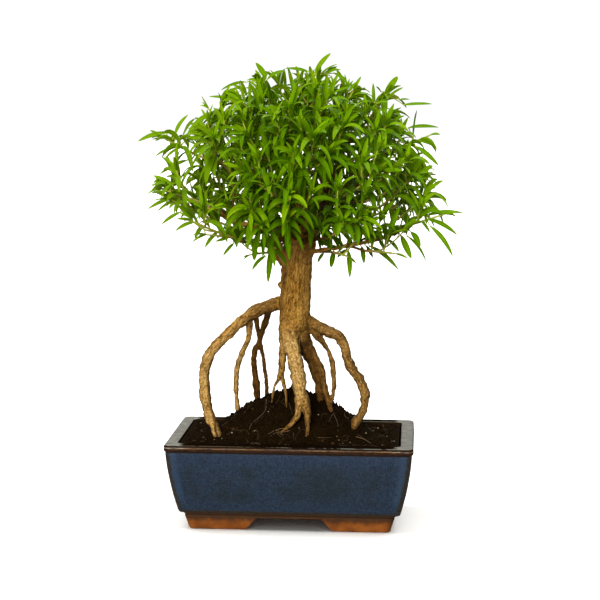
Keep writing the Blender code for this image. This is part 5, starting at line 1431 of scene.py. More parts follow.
    # the front root gets more painted shade where it forks, so it is browner there
    light = light * np.where(share[:, 1 + sorted(ROOTS).index("front")] > 0.5, 0.45 + 0.55 * np.clip((co[:, 2] - 62.0) / 20.0, 0, 1), 1.0)
    move = np.zeros(n)
    groove = np.zeros(n)
    for i in range(n):
        k = kind[i]
        x, y, z = co[i]
        a, b, c = u[i], v[i], w[i]
        fade = 1.0 - seam[i]
        flute = noise.noise(Vector((a * 0.26, b * 0.26, c * 0.05)))
        fissure = 1.0 - abs(noise.noise(Vector((a * 0.8 + 9.0, b * 0.8, c * 0.16)))) * 2.6
        fissure = max(0.0, fissure) ** 2
        even = noise.noise(Vector((x * 0.9, y * 0.9, z * 0.7)))
        fine = noise.noise(Vector((x * 2.6, y * 2.6, z * 2.0 + 3.0)))
        knob = noise.noise(Vector((x * 0.23 + 5.0, y * 0.23, z * 0.2)))
        lump = noise.noise(Vector((x * 0.5 + 2.0, y * 0.5, z * 0.42)))
        m_trunk = (0.55 * flute - 0.40 * fissure) * fade + 0.30 * even + 0.14 * fine + 0.55 * knob + 0.35 * lump
        warp = noise.noise(Vector((a * 0.5, b * 0.5, c * 0.2 + 5.0)))
        rings = abs(math.sin(c * 1.7 + warp * 7.0)) - 0.6
        patch = max(0.0, noise.noise(Vector((a * 0.3 + 4.0, b * 0.3, c * 0.12))) + 0.1)
        m_root = (0.25 * flute + 0.22 * rings * patch - 0.14 * fissure) * fade + 0.30 * even + 0.15 * fine + 0.60 * knob + 0.50 * lump
        thin = min(1.0, rad[best[i]] / 3.0)
        move[i] = (m_trunk * (1 - k) + m_root * k) * (0.35 + 0.65 * thin)
        groove[i] = fissure * fade * (1 - 0.6 * k)
    # outward direction from the relaxed skin
    mesh.vertices.foreach_set("co", ((co + SHIFT) * MM).astype(np.float32).ravel())
    mesh.update()
    no = np.zeros(n * 3, np.float32)
    mesh.vertices.foreach_get("normal", no)
    no = no.reshape(-1, 3).astype(float)
    co += no * move[:, None]
    mesh.vertices.foreach_set("co", ((co + SHIFT) * MM).astype(np.float32).ravel())
    # painted shade in creases follows how deep a point lies: it sits below the mean of its neighbours' neighbours
    # deep furrows between the swellings of the trunk's foot
    furrow = np.zeros(n)
    us, vs = photo_pixels(co)
    for line, wide in FURROWS:
        reach = np.full(n, 99.0)
        for (x0, y0), (x1, y1) in zip(line[:-1], line[1:]):
            t = np.clip(((us - x0) * (x1 - x0) + (vs - y0) * (y1 - y0)) / ((x1 - x0) ** 2 + (y1 - y0) ** 2), 0, 1)
            reach = np.minimum(reach, np.hypot(us - x0 - t * (x1 - x0), vs - y0 - t * (y1 - y0)))
        furrow = np.maximum(furrow, np.exp(-(reach / wide) ** 2) * (no[:, 1] < -0.05) * (co[:, 1] < 3.0))
    co -= no * (0.9 * furrow)[:, None]
    mesh.vertices.foreach_set("co", ((co + SHIFT) * MM).astype(np.float32).ravel())
    smooth_co = relax(co, np.full(n, 0.8), 26)
    depth = ((smooth_co - co) * no).sum(axis=1)
    # painted shade: darker where the skin lies deep, along the fissures and in the furrows
    crease_shade = np.clip(depth / 0.55 - 0.15, 0, 1) * 0.8 + groove * 0.25 + furrow * 0.8
    crease_shade = np.clip(relax(crease_shade[:, None], np.full(n, 0.5), 1)[:, 0], 0, 1)
    # painted shade on the wood high up inside the leafy head
    crown_shade = np.clip((co[:, 2] - 192.0) / 16.0, 0, 1)
    # painted shade on the roots behind the trunk
    behind = np.clip((co[:, 1] - 5.0) / 6.0, 0, 1) * np.clip((134.0 - co[:, 2]) / 10.0, 0, 1)
    light = light * (1.0 - 0.5 * behind * (co[:, 0] > -34.0))
    # the left arch gets painted shade where it leaves the trunk, and the trunk under the head gets a light skin colour
    # as painted light
    near_trunk = np.clip((co[:, 0] + 44.0) / 22.0, 0, 1) * (co[:, 0] < -9.5) * np.clip((co[:, 2] - 116.0) / 5.0, 0, 1)
    light = light * (1.0 - 0.66 * near_trunk)
    lit_upper_trunk = np.clip((co[:, 2] - 150.0) / 12.0, 0, 1) * np.clip((204.0 - co[:, 2]) / 12.0, 0, 1) * (co[:, 1] < 6.5)
    # the front root gets a painted highlight along the top half of its run, where it faces the front
    which = 1 + sorted(ROOTS).index("front")
    pale = share[:, which] * np.clip((co[:, 2] - 74.0) / 12.0, 0, 1) * np.clip((121.0 - co[:, 2]) / 8.0, 0, 1)
    pale = pale * np.clip(-no[:, 1] * 1.6 - 0.3, 0, 1)
    # so do, less, the front of the great arch and of the outermost root under it
    arch = share[:, 1 + sorted(ROOTS).index("arch_left")] + share[:, 1 + sorted(ROOTS).index("left_outer")]
    pale = np.maximum(pale, 0.62 * arch * np.clip(-no[:, 1] * 2.6 - 1.5, 0, 1) * np.clip((112.0 - co[:, 2]) / 8.0, 0, 1))
    # and the trunk gets painted shade down its left side
    left_side_shade = np.clip(-no0[:, 0] * 1.8 - 0.7, 0, 1) * (core < 16) * np.clip((co[:, 2] - 112.0) / 8.0, 0, 1) * (co[:, 2] < 170)
    ground = np.array([soil_height(px, py) if abs(px) < 66 and abs(py) < 34 else 50.0 for px, py in co[:, :2]])
    low = np.clip(1.0 - (co[:, 2] - ground) / 7.0, 0, 1)
    # the front root is darker further up from the soil than the others
    low = np.maximum(low, 0.7 * np.clip(1.0 - (co[:, 2] - ground - 3.0) / 9.0, 0, 1) * (co[:, 0] > -4.0) * (co[:, 1] < 4.0))
    for key, data in (("across_u", u), ("across_v", v), ("along", w), ("rooty", kind), ("young", np.zeros(n)), ("crown_shade", crown_shade),
                      ("low", low), ("light", light), ("crease_shade", crease_shade), ("seam", seam), ("lit_upper_trunk", lit_upper_trunk), ("below", below), ("pale", pale), ("left_side_shade", left_side_shade)):
        attribute = mesh.attributes.new(key, "FLOAT", "POINT")
        attribute.data.foreach_set("value", data.astype(np.float32))
    faces = len(mesh.polygons) * 2
    print("trunk faces", faces)
    if faces > 190000:
        thinner = obj.modifiers.new("thin", "DECIMATE")
        thinner.ratio = 188000 / faces
        evaluated(obj)
        mesh = obj.data
    mesh.update()
    mesh.shade_smooth()
    mesh.materials.clear()
    mesh.materials.append(bark_paint("bark"))
    finish_piece(obj, "bark", "trunk_roots_branches")
    return obj


def make_twigs(main, paths, twigs, used):
    bag = Bag("across_u", "across_v", "along", "rooty", "young", "crown_shade", "low", "light", "crease_shade", "seam", "lit_upper_trunk", "below", "pale", "left_side_shade")

    def add(path, sides, rooty, young0, young1, crown_shade, seed):
        path = path.copy()
        length = 0.0
        for k in range(len(path)):
            if k:
                length += np.linalg.norm(path[k, :3] - path[k - 1, :3])
            q = Vector((length * 0.16 + seed, seed * 3.7, 0.0))
            path[k, 3] *= 1.0 + 0.16 * noise.noise(q)
            if 0 < k < len(path) - 1:
                path[k, :3] += np.array([noise.noise(q + Vector((9, 0, 0))), noise.noise(q + Vector((0, 9, 0))), noise.noise(q + Vector((0, 0, 9)))]) * 0.7
        v, quads, tris = tube_parts(path, sides)
        frames = path_frames(path)
        u, w, along, young = [], [], [], []
        angles = TAU * np.arange(sides) / sides
        for k, (row, (_, _, _, run)) in enumerate(zip(path, frames)):
            t = k / (len(path) - 1)
            bump = 1.0 + 0.05 * np.array([noise.noise(Vector((math.cos(a) * 1.2, math.sin(a) * 1.2, run * 0.6 + seed))) for a in angles])
            ring = slice(k * sides, (k + 1) * sides)
            v[ring] = row[:3] + (v[ring] - row[:3]) * bump[:, None]
            u += list(np.cos(angles) * row[3])
            w += list(np.sin(angles) * row[3])
            along += [run + seed * 5.0] * sides
            young += [young0 + (young1 - young0) * t] * sides
        for row, t in ((path[0], young0), (path[-1], young1)):
            u.append(0.0); w.append(0.0); along.append(seed * 5.0); young.append(t)
        bag.add(v, quads, tris, across_u=np.array(u), across_v=np.array(w), along=np.array(along), rooty=rooty,
                young=np.array(young), crown_shade=crown_shade, low=0.0, light=0.55, crease_shade=0.0, seam=0.3, lit_upper_trunk=0.0)

    for k, path in enumerate(paths):
        add(smooth_path(path, 4), 14, 0.15, 0.0, 0.15, 0.75, k + 1.0)
    for i, path in sorted(twigs.items()):
        if i in used:
            add(path, 9, 0.15, 0.05, 0.75, 0.45, 20.0 + i)
    return bag, add


def finish_twigs(bag):
    obj = bag.make("branches_and_twigs", [bark_paint("twig_bark")])
    finish_piece(obj, "bark")
    return obj


# ---------------------------------------------------------------------------
# leaves
# ---------------------------------------------------------------------------
TOP_S = np.array([-1.0, -0.56, -0.12, 0.12, 0.56, 1.0])
LOW_S = np.array([0.36, -0.36])
AROUND = len(TOP_S) + len(LOW_S)
STATIONS = np.array([0.0, 0.06, 0.14, 0.25, 0.37, 0.50, 0.63, 0.75, 0.86, 0.945])
ROWS = len(STATIONS)
_k, _i = np.meshgrid(np.arange(ROWS - 1), np.arange(AROUND), indexing="ij")
_k, _i = _k.ravel(), _i.ravel()
_j = (_i + 1) % AROUND
LEAF_QUADS = np.stack([_k * AROUND + _i, (_k + 1) * AROUND + _i, (_k + 1) * AROUND + _j, _k * AROUND + _j], axis=1)
_tip = ROWS * AROUND
_last = (ROWS - 1) * AROUND
LEAF_TRIS = np.array(
    [(_last + a, _tip, _last + (a + 1) % AROUND) for a in range(AROUND)]
    + [(0, a + 1, a) for a in range(1, AROUND - 1)]
)
LEAF_S = np.append(np.tile(np.concatenate([TOP_S, LOW_S]), ROWS), 0.0)
LEAF_T = np.append(np.repeat(STATIONS, AROUND), 1.0)
LEAF_UNDER = np.append(np.tile(np.concatenate([np.zeros(6), np.ones(2)]), ROWS), 0.5)


def leaf_shape(points, ways, across0, up, width, fold, twist, oval, thick=0.30, wave=0.0, phase=0.0):
    """Corners of one closed leaf along its midrib points."""
    t = STATIONS
    lance = 2.62 * np.maximum(t, 1e-4) ** 0.66 * (1 - t) ** 0.82
    egg = 2.10 * np.maximum(t, 1e-4) ** 0.62 * (1 - t) ** 0.48
    half = width / 2 * (lance * (1 - oval) + egg * oval)
    half = np.maximum(half, 0.42 * (1 - t * 3.0).clip(0, 1) + 0.10)
    verts = np.zeros((ROWS * AROUND + 1, 3))
    thin = thick * (0.55 + 0.45 * (1 - t)) * (1.0 + 0.9 * (1 - t / 0.12).clip(0, 1))
    for k in range(ROWS):
        d = ways[k]
        a = unit(across0 - d * np.dot(across0, d))
        f = np.cross(a, d)
        if np.dot(f, up) < 0:
            f = -f
            a = -a
        ang = twist * t[k]
        if ang:
            a, f = a * math.cos(ang) + f * math.sin(ang), f * math.cos(ang) - a * math.sin(ang)
        h = half[k]
        edge = fold * h
        ripple = wave * h * math.sin(TAU * (1.6 * t[k] + phase))
        top = edge * np.abs(TOP_S) ** 1.35 + thin[k] * 0.5 * (1 - TOP_S ** 2) - 0.10 * (np.abs(TOP_S) < 0.2) * (h > 0.7)
        top = top + ripple * TOP_S ** 2 * np.sign(TOP_S)
        low = edge * np.abs(LOW_S) ** 1.35 - thin[k] * 0.62 * (1 - LOW_S ** 2)
        low = low + ripple * LOW_S ** 2 * np.sign(LOW_S)
        s = np.concatenate([TOP_S, LOW_S])
        z = np.concatenate([top, low])
        verts[k * AROUND:(k + 1) * AROUND] = points[k] + np.outer(s * h, a) + np.outer(z, f)
    verts[-1] = points[-1]
    return verts


def spine(root, out, length, droop, swing, up_first=0.0):
    """Midrib from root: it leaves along out, swings aside and arches down."""
    marks = np.append(STATIONS, 1.0)
    points, ways = [np.array(root, float)], []
    d = unit(out)
    for k in range(len(marks) - 1):
        dt = marks[k + 1] - marks[k]
        ways.append(d)
        level = math.sqrt(max(0.0, 1.0 - d[2] * d[2]))
        mid = unit(d - AXIS_Z * droop * dt * 0.5 * (0.25 + 0.75 * level))
        points.append(points[-1] + mid * length * dt)
        d = unit(d - AXIS_Z * droop * dt * (0.25 + 0.75 * level) + np.cross(AXIS_Z, d) * swing * dt)
    ways.append(d)
    return points, ways


def spine_between(root, tip, arch, side=0.0):
    """Midrib from root to tip over a raised middle."""
    root, tip = np.array(root, float), np.array(tip, float)
    span = np.linalg.norm(tip - root)
    d = unit(tip - root)
    lift = unit(AXIS_Z - d * d[2]) if abs(d[2]) < 0.97 else any_side(d)
    mid = root + (tip - root) * 0.45 + lift * arch * span + np.cross(d, lift) * side * span
    marks = np.append(STATIONS, 1.0)
    points = [bezier(root, mid, tip, t) for t in marks]
    ways = [unit(bezier(root, mid, tip, min(1.0, t + 0.02)) - bezier(root, mid, tip, max(0.0, t - 0.02))) for t in marks]
    return points, ways


class Crown:
    """Where leaves already are, to keep the next ones apart."""

    def __init__(self):
        self.points = np.zeros((60000, 3))
        self.n = 0

    def room(self, samples):
        if not self.n:
            return 9.0
        d = self.points[None, :self.n] - samples[:, None]
        near = np.sqrt((d * d).sum(axis=2).min(axis=1))
        return float(near.min() + 0.35 * near.mean())

    def add(self, samples):
        self.points[self.n:self.n + len(samples)] = samples
        self.n += len(samples)


crown = Crown()


class Spray:
    def __init__(self, index, number):
        self.index, self.number = index, number
        self.bag = Bag("leaf_s", "leaf_t", "under", "tone", "age", "stem")
        self.leaves = 0

    def leaf(self, points, ways, across, up, width, fold, twist, oval, age, tone, wave=0.05, phase=0.0, thick=0.30):
        verts = leaf_shape(points, ways, across, up, width, fold, twist, oval, thick, wave, phase)
        self.bag.add(verts, LEAF_QUADS, LEAF_TRIS, mat=0, leaf_s=LEAF_S, leaf_t=LEAF_T, under=LEAF_UNDER, tone=tone, age=age, stem=0.0)
        self.leaves += 1

    def stem(self, path, young0, young1, sides=7):
        v, q, t = tube_parts(path, sides)
        rows = len(path)
        age = np.concatenate([np.repeat(np.linspace(young0, young1, rows), sides), [young0, young1]])
        self.bag.add(v, q, t, mat=1, leaf_s=0.0, leaf_t=0.0, under=0.0, tone=hash01(self.index, 77), age=age, stem=1.0)


BLADE_LENGTH, BLADE_WIDTH = 24.0, 3.75

# The outline of the leafy head in the photograph, and under it the lowest that ordinary leaves hang.
CROWN_OUTLINE = [
    (440, 180), (440, 193), (452, 206), (452, 222), (438, 228), (424, 226), (412, 231), (398, 236), (384, 242), (366, 248), (345, 252),
    (330, 252), (318, 250), (309, 248), (302, 250), (296, 262), (286, 266), (276, 270), (264, 262), (254, 254), (242, 248), (228, 244),
    (212, 236), (197, 228), (184, 221), (168, 211), (154, 200), (148, 188), (154, 178), (163, 166), (156, 152), (152, 140), (160, 131),
    (176, 122), (192, 118), (208, 112), (216, 104), (216, 94), (228, 84), (243, 79), (254, 74), (265, 70), (277, 70), (288, 66), (300, 66),
    (312, 65), (326, 60), (338, 67), (348, 76), (357, 82), (366, 88), (378, 86), (388, 81), (402, 86), (410, 96), (417, 106), (424, 116),
    (432, 126), (434, 140), (438, 152), (440, 166)]
# gaps that the photograph shows through the head: middle, half width, half height, share of leaves left out
GAPS = [((352, 241), 18, 4, 0.6), ((330, 244), 8, 4, 0.5), ((405, 244), 18, 6, 1.0), ((327, 205), 5, 7, 0.4),
        ((236, 208), 7, 6, 0.6), ((222, 222), 9, 4, 0.7), ((247, 215), 4, 4, 0.5)]


def inside_outline(u, v):
    inside = False
    n = len(CROWN_OUTLINE)
    for k in range(n):
        x0, y0 = CROWN_OUTLINE[k]
        x1, y1 = CROWN_OUTLINE[(k + 1) % n]
        if (y0 > v) != (y1 > v) and u < x0 + (x1 - x0) * (v - y0) / (y1 - y0):
            inside = not inside
    return inside


def welcome(samples, key):
    """Whether a leaf at these points keeps to the head's outline and leaves its gaps open."""
    us, vs = photo_pixels(samples)
    for u, v in zip(us[1:], vs[1:]):
        if not inside_outline(u, v):
            return False
    for n, ((cu, cv), hu, hv, share) in enumerate(GAPS):
        if hash01(key, n, 71) < share:
            for u, v in zip(us, vs):
                if ((u - cu) / hu) ** 2 + ((v - cv) / hv) ** 2 < 1.0:
                    return False
    return True


def at_margin(point):
    """Whether a point shows within a few pixels of the head's outline."""
    us, vs = photo_pixels(point)
    out = unit([us[0] - 300.0, vs[0] - 165.0, 0.0])
    return not inside_outline(us[0] + out[0] * 17, vs[0] + out[1] * 17)


def edge_on(across, way):
    """Whether a blade that spreads this way turns its edge to the front."""
    face = np.cross(unit(across - way * np.dot(across, way)), way)
    return abs(np.dot(face, camera_axes()[0])) < 0.40


def grow(spray, base, bend, tip, r0, r1, marks, sizes, seed, spin=None, youth=0.0, spread_low=54, spread_high=26,
         bud=1.0, young0=0.35, young1=1.0):
    """One leafy stem: pairs of leaves at the given marks, each pair turned a quarter, and a bud at the tip.

    A leaf leaves its stem steeply and arches over, so that a shoot looks like a small fountain.
    """
    steps = 14
    path = []
    for n in range(steps + 1):
        t = n / steps
        p = bezier(base, bend, tip, t)
        path.append((*p, r0 + (r1 - r0) * t))
    path = np.array(path)
    # the stem thickens a little at each pair
    for m in marks:
        k = int(round(m * steps))
        path[k, 3] *= 1.20
    start_dir = unit(bend - base)
    path = np.vstack([[(*(base - start_dir * 0.7), r0)], path])
    spray.stem(path, young0, young1)
    side = any_side(unit(bend - base))
    spin = math.pi * hash01(seed, 7) if spin is None else spin
    frames = []
    for p, m in enumerate(marks):
        c = bezier(base, bend, tip, m)
        way = unit(bezier(base, bend, tip, min(1, m + 0.02)) - bezier(base, bend, tip, max(0, m - 0.02)))
        side = unit(side - way * np.dot(side, way))
        over = np.cross(way, side)
        a = spin + (math.pi / 2 if p % 2 else 0.0) + (hash01(seed, p, 31) - 0.5) * 0.5
        out1 = math.cos(a) * side + math.sin(a) * over
        radius = r0 + (r1 - r0) * m
        age = (p + 0.5) / len(marks)
        for sign in (1, -1):
            outward = out1 * sign
            key = seed * 17 + p * 2 + (sign > 0)
            best = None
            for attempt in range(5):
                spread = math.radians(spread_low + (spread_high - spread_low) * age + 16 * (hash01(key, attempt) - 0.5))
                swing = (hash01(key, attempt, 1) - 0.5) * (0.25 if attempt == 0 else 0.8)
                tangent = np.cross(way, outward)
                out = unit(math.cos(spread) * way + math.sin(spread) * unit(outward + tangent * swing) + AXIS_Z * 0.24)
                size = sizes[p] * (0.88 + 0.22 * hash01(key, 5)) * (1.0 - 0.05 * attempt)
                droop = (3.2 - 1.5 * age) * (0.75 + 0.5 * hash01(key, attempt, 2))
                points, ways = spine(c + outward * radius * 0.55, out, size, droop, (hash01(key, 9) - 0.5) * 0.6)
                samples = np.array([points[3], points[5], points[7], points[9]])
                room = crown.room(samples)
                if not welcome(samples, key):
                    room -= 50.0
                elif at_margin(samples[3]) and edge_on(tangent, ways[5]):
                    room -= 20.0
                if best is None or room > best[0]:
                    best = (room, points, ways, size, tangent, samples)
                if room > 3.0:
                    break
            room, points, ways, size, tangent, samples = best
            if room < 0.8:
                continue
            width = BLADE_WIDTH * (size / 22.0) ** 0.8 * (0.84 + 0.32 * hash01(key, 6))
            spray.leaf(points, ways, tangent, way + 0.35 * AXIS_Z, width, 0.22 + 0.26 * hash01(key, 8), (hash01(key, 10) - 0.5) * 0.5,
                       0.45 * hash01(key, 12) ** 2, age * (0.45 + 0.4 * youth) + 0.15 * hash01(key, 13) - 0.08,
                       hash01(key, 14), 0.04 + 0.06 * hash01(key, 15), hash01(key, 16), 0.26)
            crown.add(samples)
        frames.append((c, way, out1, age))
    # the bud: pairs of small upright leaves
    way = unit(tip - bezier(base, bend, tip, 0.95))
    side = unit(side - way * np.dot(side, way))
    over = np.cross(way, side)
    for p, (size, angle) in enumerate(((14.5, 30), (9.5, 19), (5.6, 10))):
        a = spin + (math.pi / 2 if (p + len(marks)) % 2 else 0.0)
        out1 = math.cos(a) * side + math.sin(a) * over
        for sign in (1, -1):
            key = seed * 23 + p * 2 + (sign > 0) + 900
            outward = out1 * sign
            spread = math.radians(angle + 12 * (hash01(key, 0) - 0.5))
            out = unit(math.cos(spread) * way + math.sin(spread) * outward)
            length = size * bud * (0.86 + 0.28 * hash01(key, 1))
            points, ways = spine(tip - way * (1.6 - 0.6 * p) + outward * r1 * 0.3, out, length, 0.75 * (0.5 + hash01(key, 2)), (hash01(key, 3) - 0.5) * 0.4)
            samples = np.array([points[4], points[7]])
            if p == 0 and not welcome(samples, key):
                continue
            if p < 2 and at_margin(points[-1]) and edge_on(np.cross(way, outward), ways[5]):
                continue
            width = BLADE_WIDTH * (length / 22.0) ** 0.75
            spray.leaf(points, ways, np.cross(way, outward), way + 0.1 * AXIS_Z, width, 0.30 + 0.15 * hash01(key, 4), (hash01(key, 5) - 0.5) * 0.5,
                       0.15, 0.72 + 0.14 * p, hash01(key, 6), 0.03, 0.0, 0.22)
            if p == 0:
                crown.add(samples)
    return frames


def leaf_paint():
    paint = Paint("leaf_blade")
    p = paint.place()
    s = paint.math("ABSOLUTE", paint.attribute("leaf_s"))
    t = paint.attribute("leaf_t")
    tone = paint.attribute("tone")
    age = paint.attribute("age")
    under = paint.attribute("under")
    broad = paint.noise(p, 0.06, 2.0)
    fine = paint.noise(p, 1.3, 4.0, 0.6)
    old = paint.mix(paint.step(tone, 0.0, 1.0, False), lin(55, 95, 0), lin(86, 131, 1))
    old = paint.mix(paint.math("MULTIPLY", paint.step(broad, 0.35, 0.65), 0.45), old, lin(64, 104, 0))
    fresh = paint.mix(tone, lin(95, 143, 2), lin(125, 163, 8))
    colour = paint.mix(paint.step(age, 0.30, 0.95), old, fresh)
    colour = paint.mix(paint.math("MULTIPLY", paint.step(fine, 0.4, 0.8), 0.28), colour, lin(44, 80, 1))
    # the head's left side, and less its right, is painted lighter and yellower, as painted light
    x, _, _ = paint.xyz(p)
    colour = paint.mix(paint.math("MULTIPLY", paint.step(x, -14.0, -58.0), 0.40), colour, lin(124, 160, 14))
    colour = paint.mix(paint.math("MULTIPLY", paint.step(x, 22.0, 58.0), 0.22), colour, lin(112, 156, 10))
    # side veins curve out of the midrib
    vein_at = paint.math("FRACT", paint.math("MULTIPLY_ADD", t, 7.0, paint.math("MULTIPLY", s, -1.3)))
    vein = paint.step(paint.math("ABSOLUTE", paint.math("SUBTRACT", vein_at, 0.5)), 0.07, 0.0)
    vein = paint.math("MULTIPLY", vein, paint.step(s, 1.0, 0.25))
    colour = paint.mix(paint.math("MULTIPLY", vein, 0.18), colour, lin(112, 150, 10))
    rib = paint.step(s, 0.15, 0.02)
    colour = paint.mix(paint.math("MULTIPLY", rib, paint.math("MULTIPLY_ADD", t, -0.35, 0.62)), colour, lin(140, 170, 26))
    edge = paint.step(s, 0.86, 1.0)
    colour = paint.mix(paint.math("MULTIPLY", edge, 0.20), colour, lin(106, 146, 8))
    petiole = paint.step(t, 0.13, 0.02)
    colour = paint.mix(paint.math("MULTIPLY", petiole, 0.7), colour, lin(158, 176, 44))
    colour = paint.mix(paint.math("MULTIPLY", under, 0.5), colour, lin(82, 118, 8))
    rough = paint.math("MULTIPLY_ADD", fine, 0.16, 0.42)
    height = paint.math("ADD", paint.math("MULTIPLY", vein, -0.5), paint.math("MULTIPLY", fine, 0.4))
    paint.set(Base_Color=colour, Roughness=rough, Normal=paint.bump(height, 0.3, 0.0002))
    paint.shader.inputs["Specular IOR Level"].default_value = 0.10
    paint.shader.inputs["Specular Tint"].default_value = (0.9, 1.0, 0.05, 1.0)
    paint.shader.inputs["Subsurface Weight"].default_value = 0.25
    paint.shader.inputs["Subsurface Radius"].default_value = (0.7, 1.0, 0.1)
    paint.shader.inputs["Subsurface Scale"].default_value = 0.0009
    return paint.mat


def stem_paint():
    paint = Paint("green_stem")
    p = paint.place()
    age = paint.attribute("age")
    grain = paint.noise(p, 1.5, 4.0, 0.6)
    woody = paint.mix(grain, lin(142, 98, 44), lin(196, 150, 84))
    green = paint.mix(grain, lin(140, 150, 26), lin(186, 190, 58))
    colour = paint.mix(paint.step(age, 0.30, 0.78), woody, green)
    colour = paint.mix(paint.math("MULTIPLY", paint.step(paint.noise(p, 0.5, 3.0), 0.55, 0.72), 0.4), colour, lin(120, 88, 30))
    paint.set(Base_Color=colour, Roughness=paint.math("MULTIPLY_ADD", grain, 0.2, 0.42), Normal=paint.bump(grain, 0.4, 0.0002))
    return paint.mat


def match_frames(frames):
    """Which shoot of the frame each computed shoot is: the node whose mesh holds its base and tip."""
    found = {}
    clouds = {}
    for name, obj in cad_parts.items():
        if name.startswith("shoot_"):
            co = np.zeros(len(obj.data.vertices) * 3, np.float32)
            obj.data.vertices.foreach_get("co", co)
            clouds[name] = co.reshape(-1, 3).astype(float) / MM - SHIFT
    for name, cloud in sorted(clouds.items()):
        best = min(range(len(frames)), key=lambda i: abs(np.linalg.norm(cloud - frames[i][0], axis=1).min() - 1.02)
                   + 0.2 * np.linalg.norm(cloud - frames[i][0], axis=1).min())
        base, bend, tip, length = frames[best]
        choice = None
        for attempt in range(24):
            turn = np.array([hash01(best, attempt, 11) - 0.5, hash01(best, attempt, 12) - 0.5, hash01(best, attempt, 13) - 0.3])
            tried = tip + turn * (0.0 if attempt == 0 else 1.2 * attempt)
            gap = np.linalg.norm(cloud - tried, axis=1).min()
            if choice is None or gap < choice[0] - 0.05:
                choice = (gap, tried)
        found[name] = (best, (base, bend, choice[1], length))
        if choice[0] > 0.6:
            print("shoot", name, "tip off by", round(choice[0], 2))
    return found


def make_leaves(found):
    sprays = {name: Spray(index, name) for name, (index, _) in sorted(found.items())}
    centre = np.array(CANOPY)
    mains = {}
    rosettes = [fr[2] for _, (_, fr) in sorted(found.items())]
    for name, (index, (base, bend, tip, length)) in sorted(found.items()):
        inner = np.linalg.norm((tip - centre) / np.array([CANOPY_X, CANOPY_Y, CANOPY_UP])) < 0.75
        if length < 30:
            marks = [0.16, 0.36, 0.56, 0.76]
        else:
            marks = [0.10, 0.24, 0.37, 0.49, 0.60, 0.70, 0.79, 0.88]
            # the head thins out towards its two ends, where bare lengths of stem show
            if abs(tip[0] - 3.0) > 40.0:
                marks = marks[2:]
        count = len(marks)
        sizes = [BLADE_LENGTH * (1.0 - 0.26 * (k / (count - 1)) ** 1.6) * (0.94 + 0.12 * hash01(index, 40 + k)) for k in range(count)]
        mains[name] = grow(sprays[name], base, bend, tip, 0.85, 0.50, marks, sizes, index + 1, youth=0.0 if inner else 1.0,
                           bud=0.85 if length < 30 else 1.0)
    # side shoots from the axils, where there is room for another rosette
    order = []
    for name, (index, fr) in sorted(found.items()):
        for p, frame_at in enumerate(mains[name]):
            for s, sign in enumerate((1, -1)):
                order.append((hash01(index, p, s, 50), name, index, fr, p, s, sign, frame_at))
    grown = 0
    for chance, name, index, (base, bend, tip, length), p, s, sign, (c, way, out1, age) in sorted(order, key=lambda row: row[0]):
        key = index * 31 + p * 2 + s
        outward = out1 * sign
        grow_dir = unit(way * 0.75 + outward * 0.80 + AXIS_Z * 0.45)
        reach = (24.0 - 14.0 * age) * (0.75 + 0.45 * hash01(key, 51))
        if reach < 9.0:
            continue
        end = c + grow_dir * reach + AXIS_Z * 1.5
        # keep it inside the crown
        rel = (end - centre) / np.array([CANOPY_X, CANOPY_Y, CANOPY_UP if end[2] > centre[2] else CANOPY_DOWN * 1.3])
        far = np.linalg.norm(rel)
        if far > 1.02:
            end = centre + (end - centre) * 1.02 / far
            reach = np.linalg.norm(end - c)
            if reach < 9.0:
                continue
        thin_out = min(1.0, max(0.0, (abs(end[0] - 3.0) - 22.0) / 34.0))
        sparse = 0.0 if end[2] < 214.0 else 1.0
        if min(np.linalg.norm(end - other) for other in rosettes) < ROSETTE_GAP + sparse * thin_out:
            continue
        us, vs = photo_pixels(end)
        if not inside_outline(us[0], vs[0] + 3):
            continue
        rosettes.append(end)
        grown += 1
        mid = c + unit(outward * 0.9 + way * 0.5) * reach * 0.5
        pairs = 2 if reach < 12 else 3 if reach < 18 else 4
        marks = [0.34 + 0.50 * k / max(1, pairs - 1) for k in range(pairs)]
        sizes = [BLADE_LENGTH * (0.95 - 0.22 * k / max(1, pairs - 1)) * (0.9 + 0.2 * hash01(key, 60 + k)) for k in range(pairs)]
        grow(sprays[name], c, mid, end, 0.58, 0.40, marks, sizes, 1000 + key, youth=0.7, bud=0.85, young0=0.55)
    print("side shoots", grown)
    return sprays


ROSETTE_GAP = 11.0

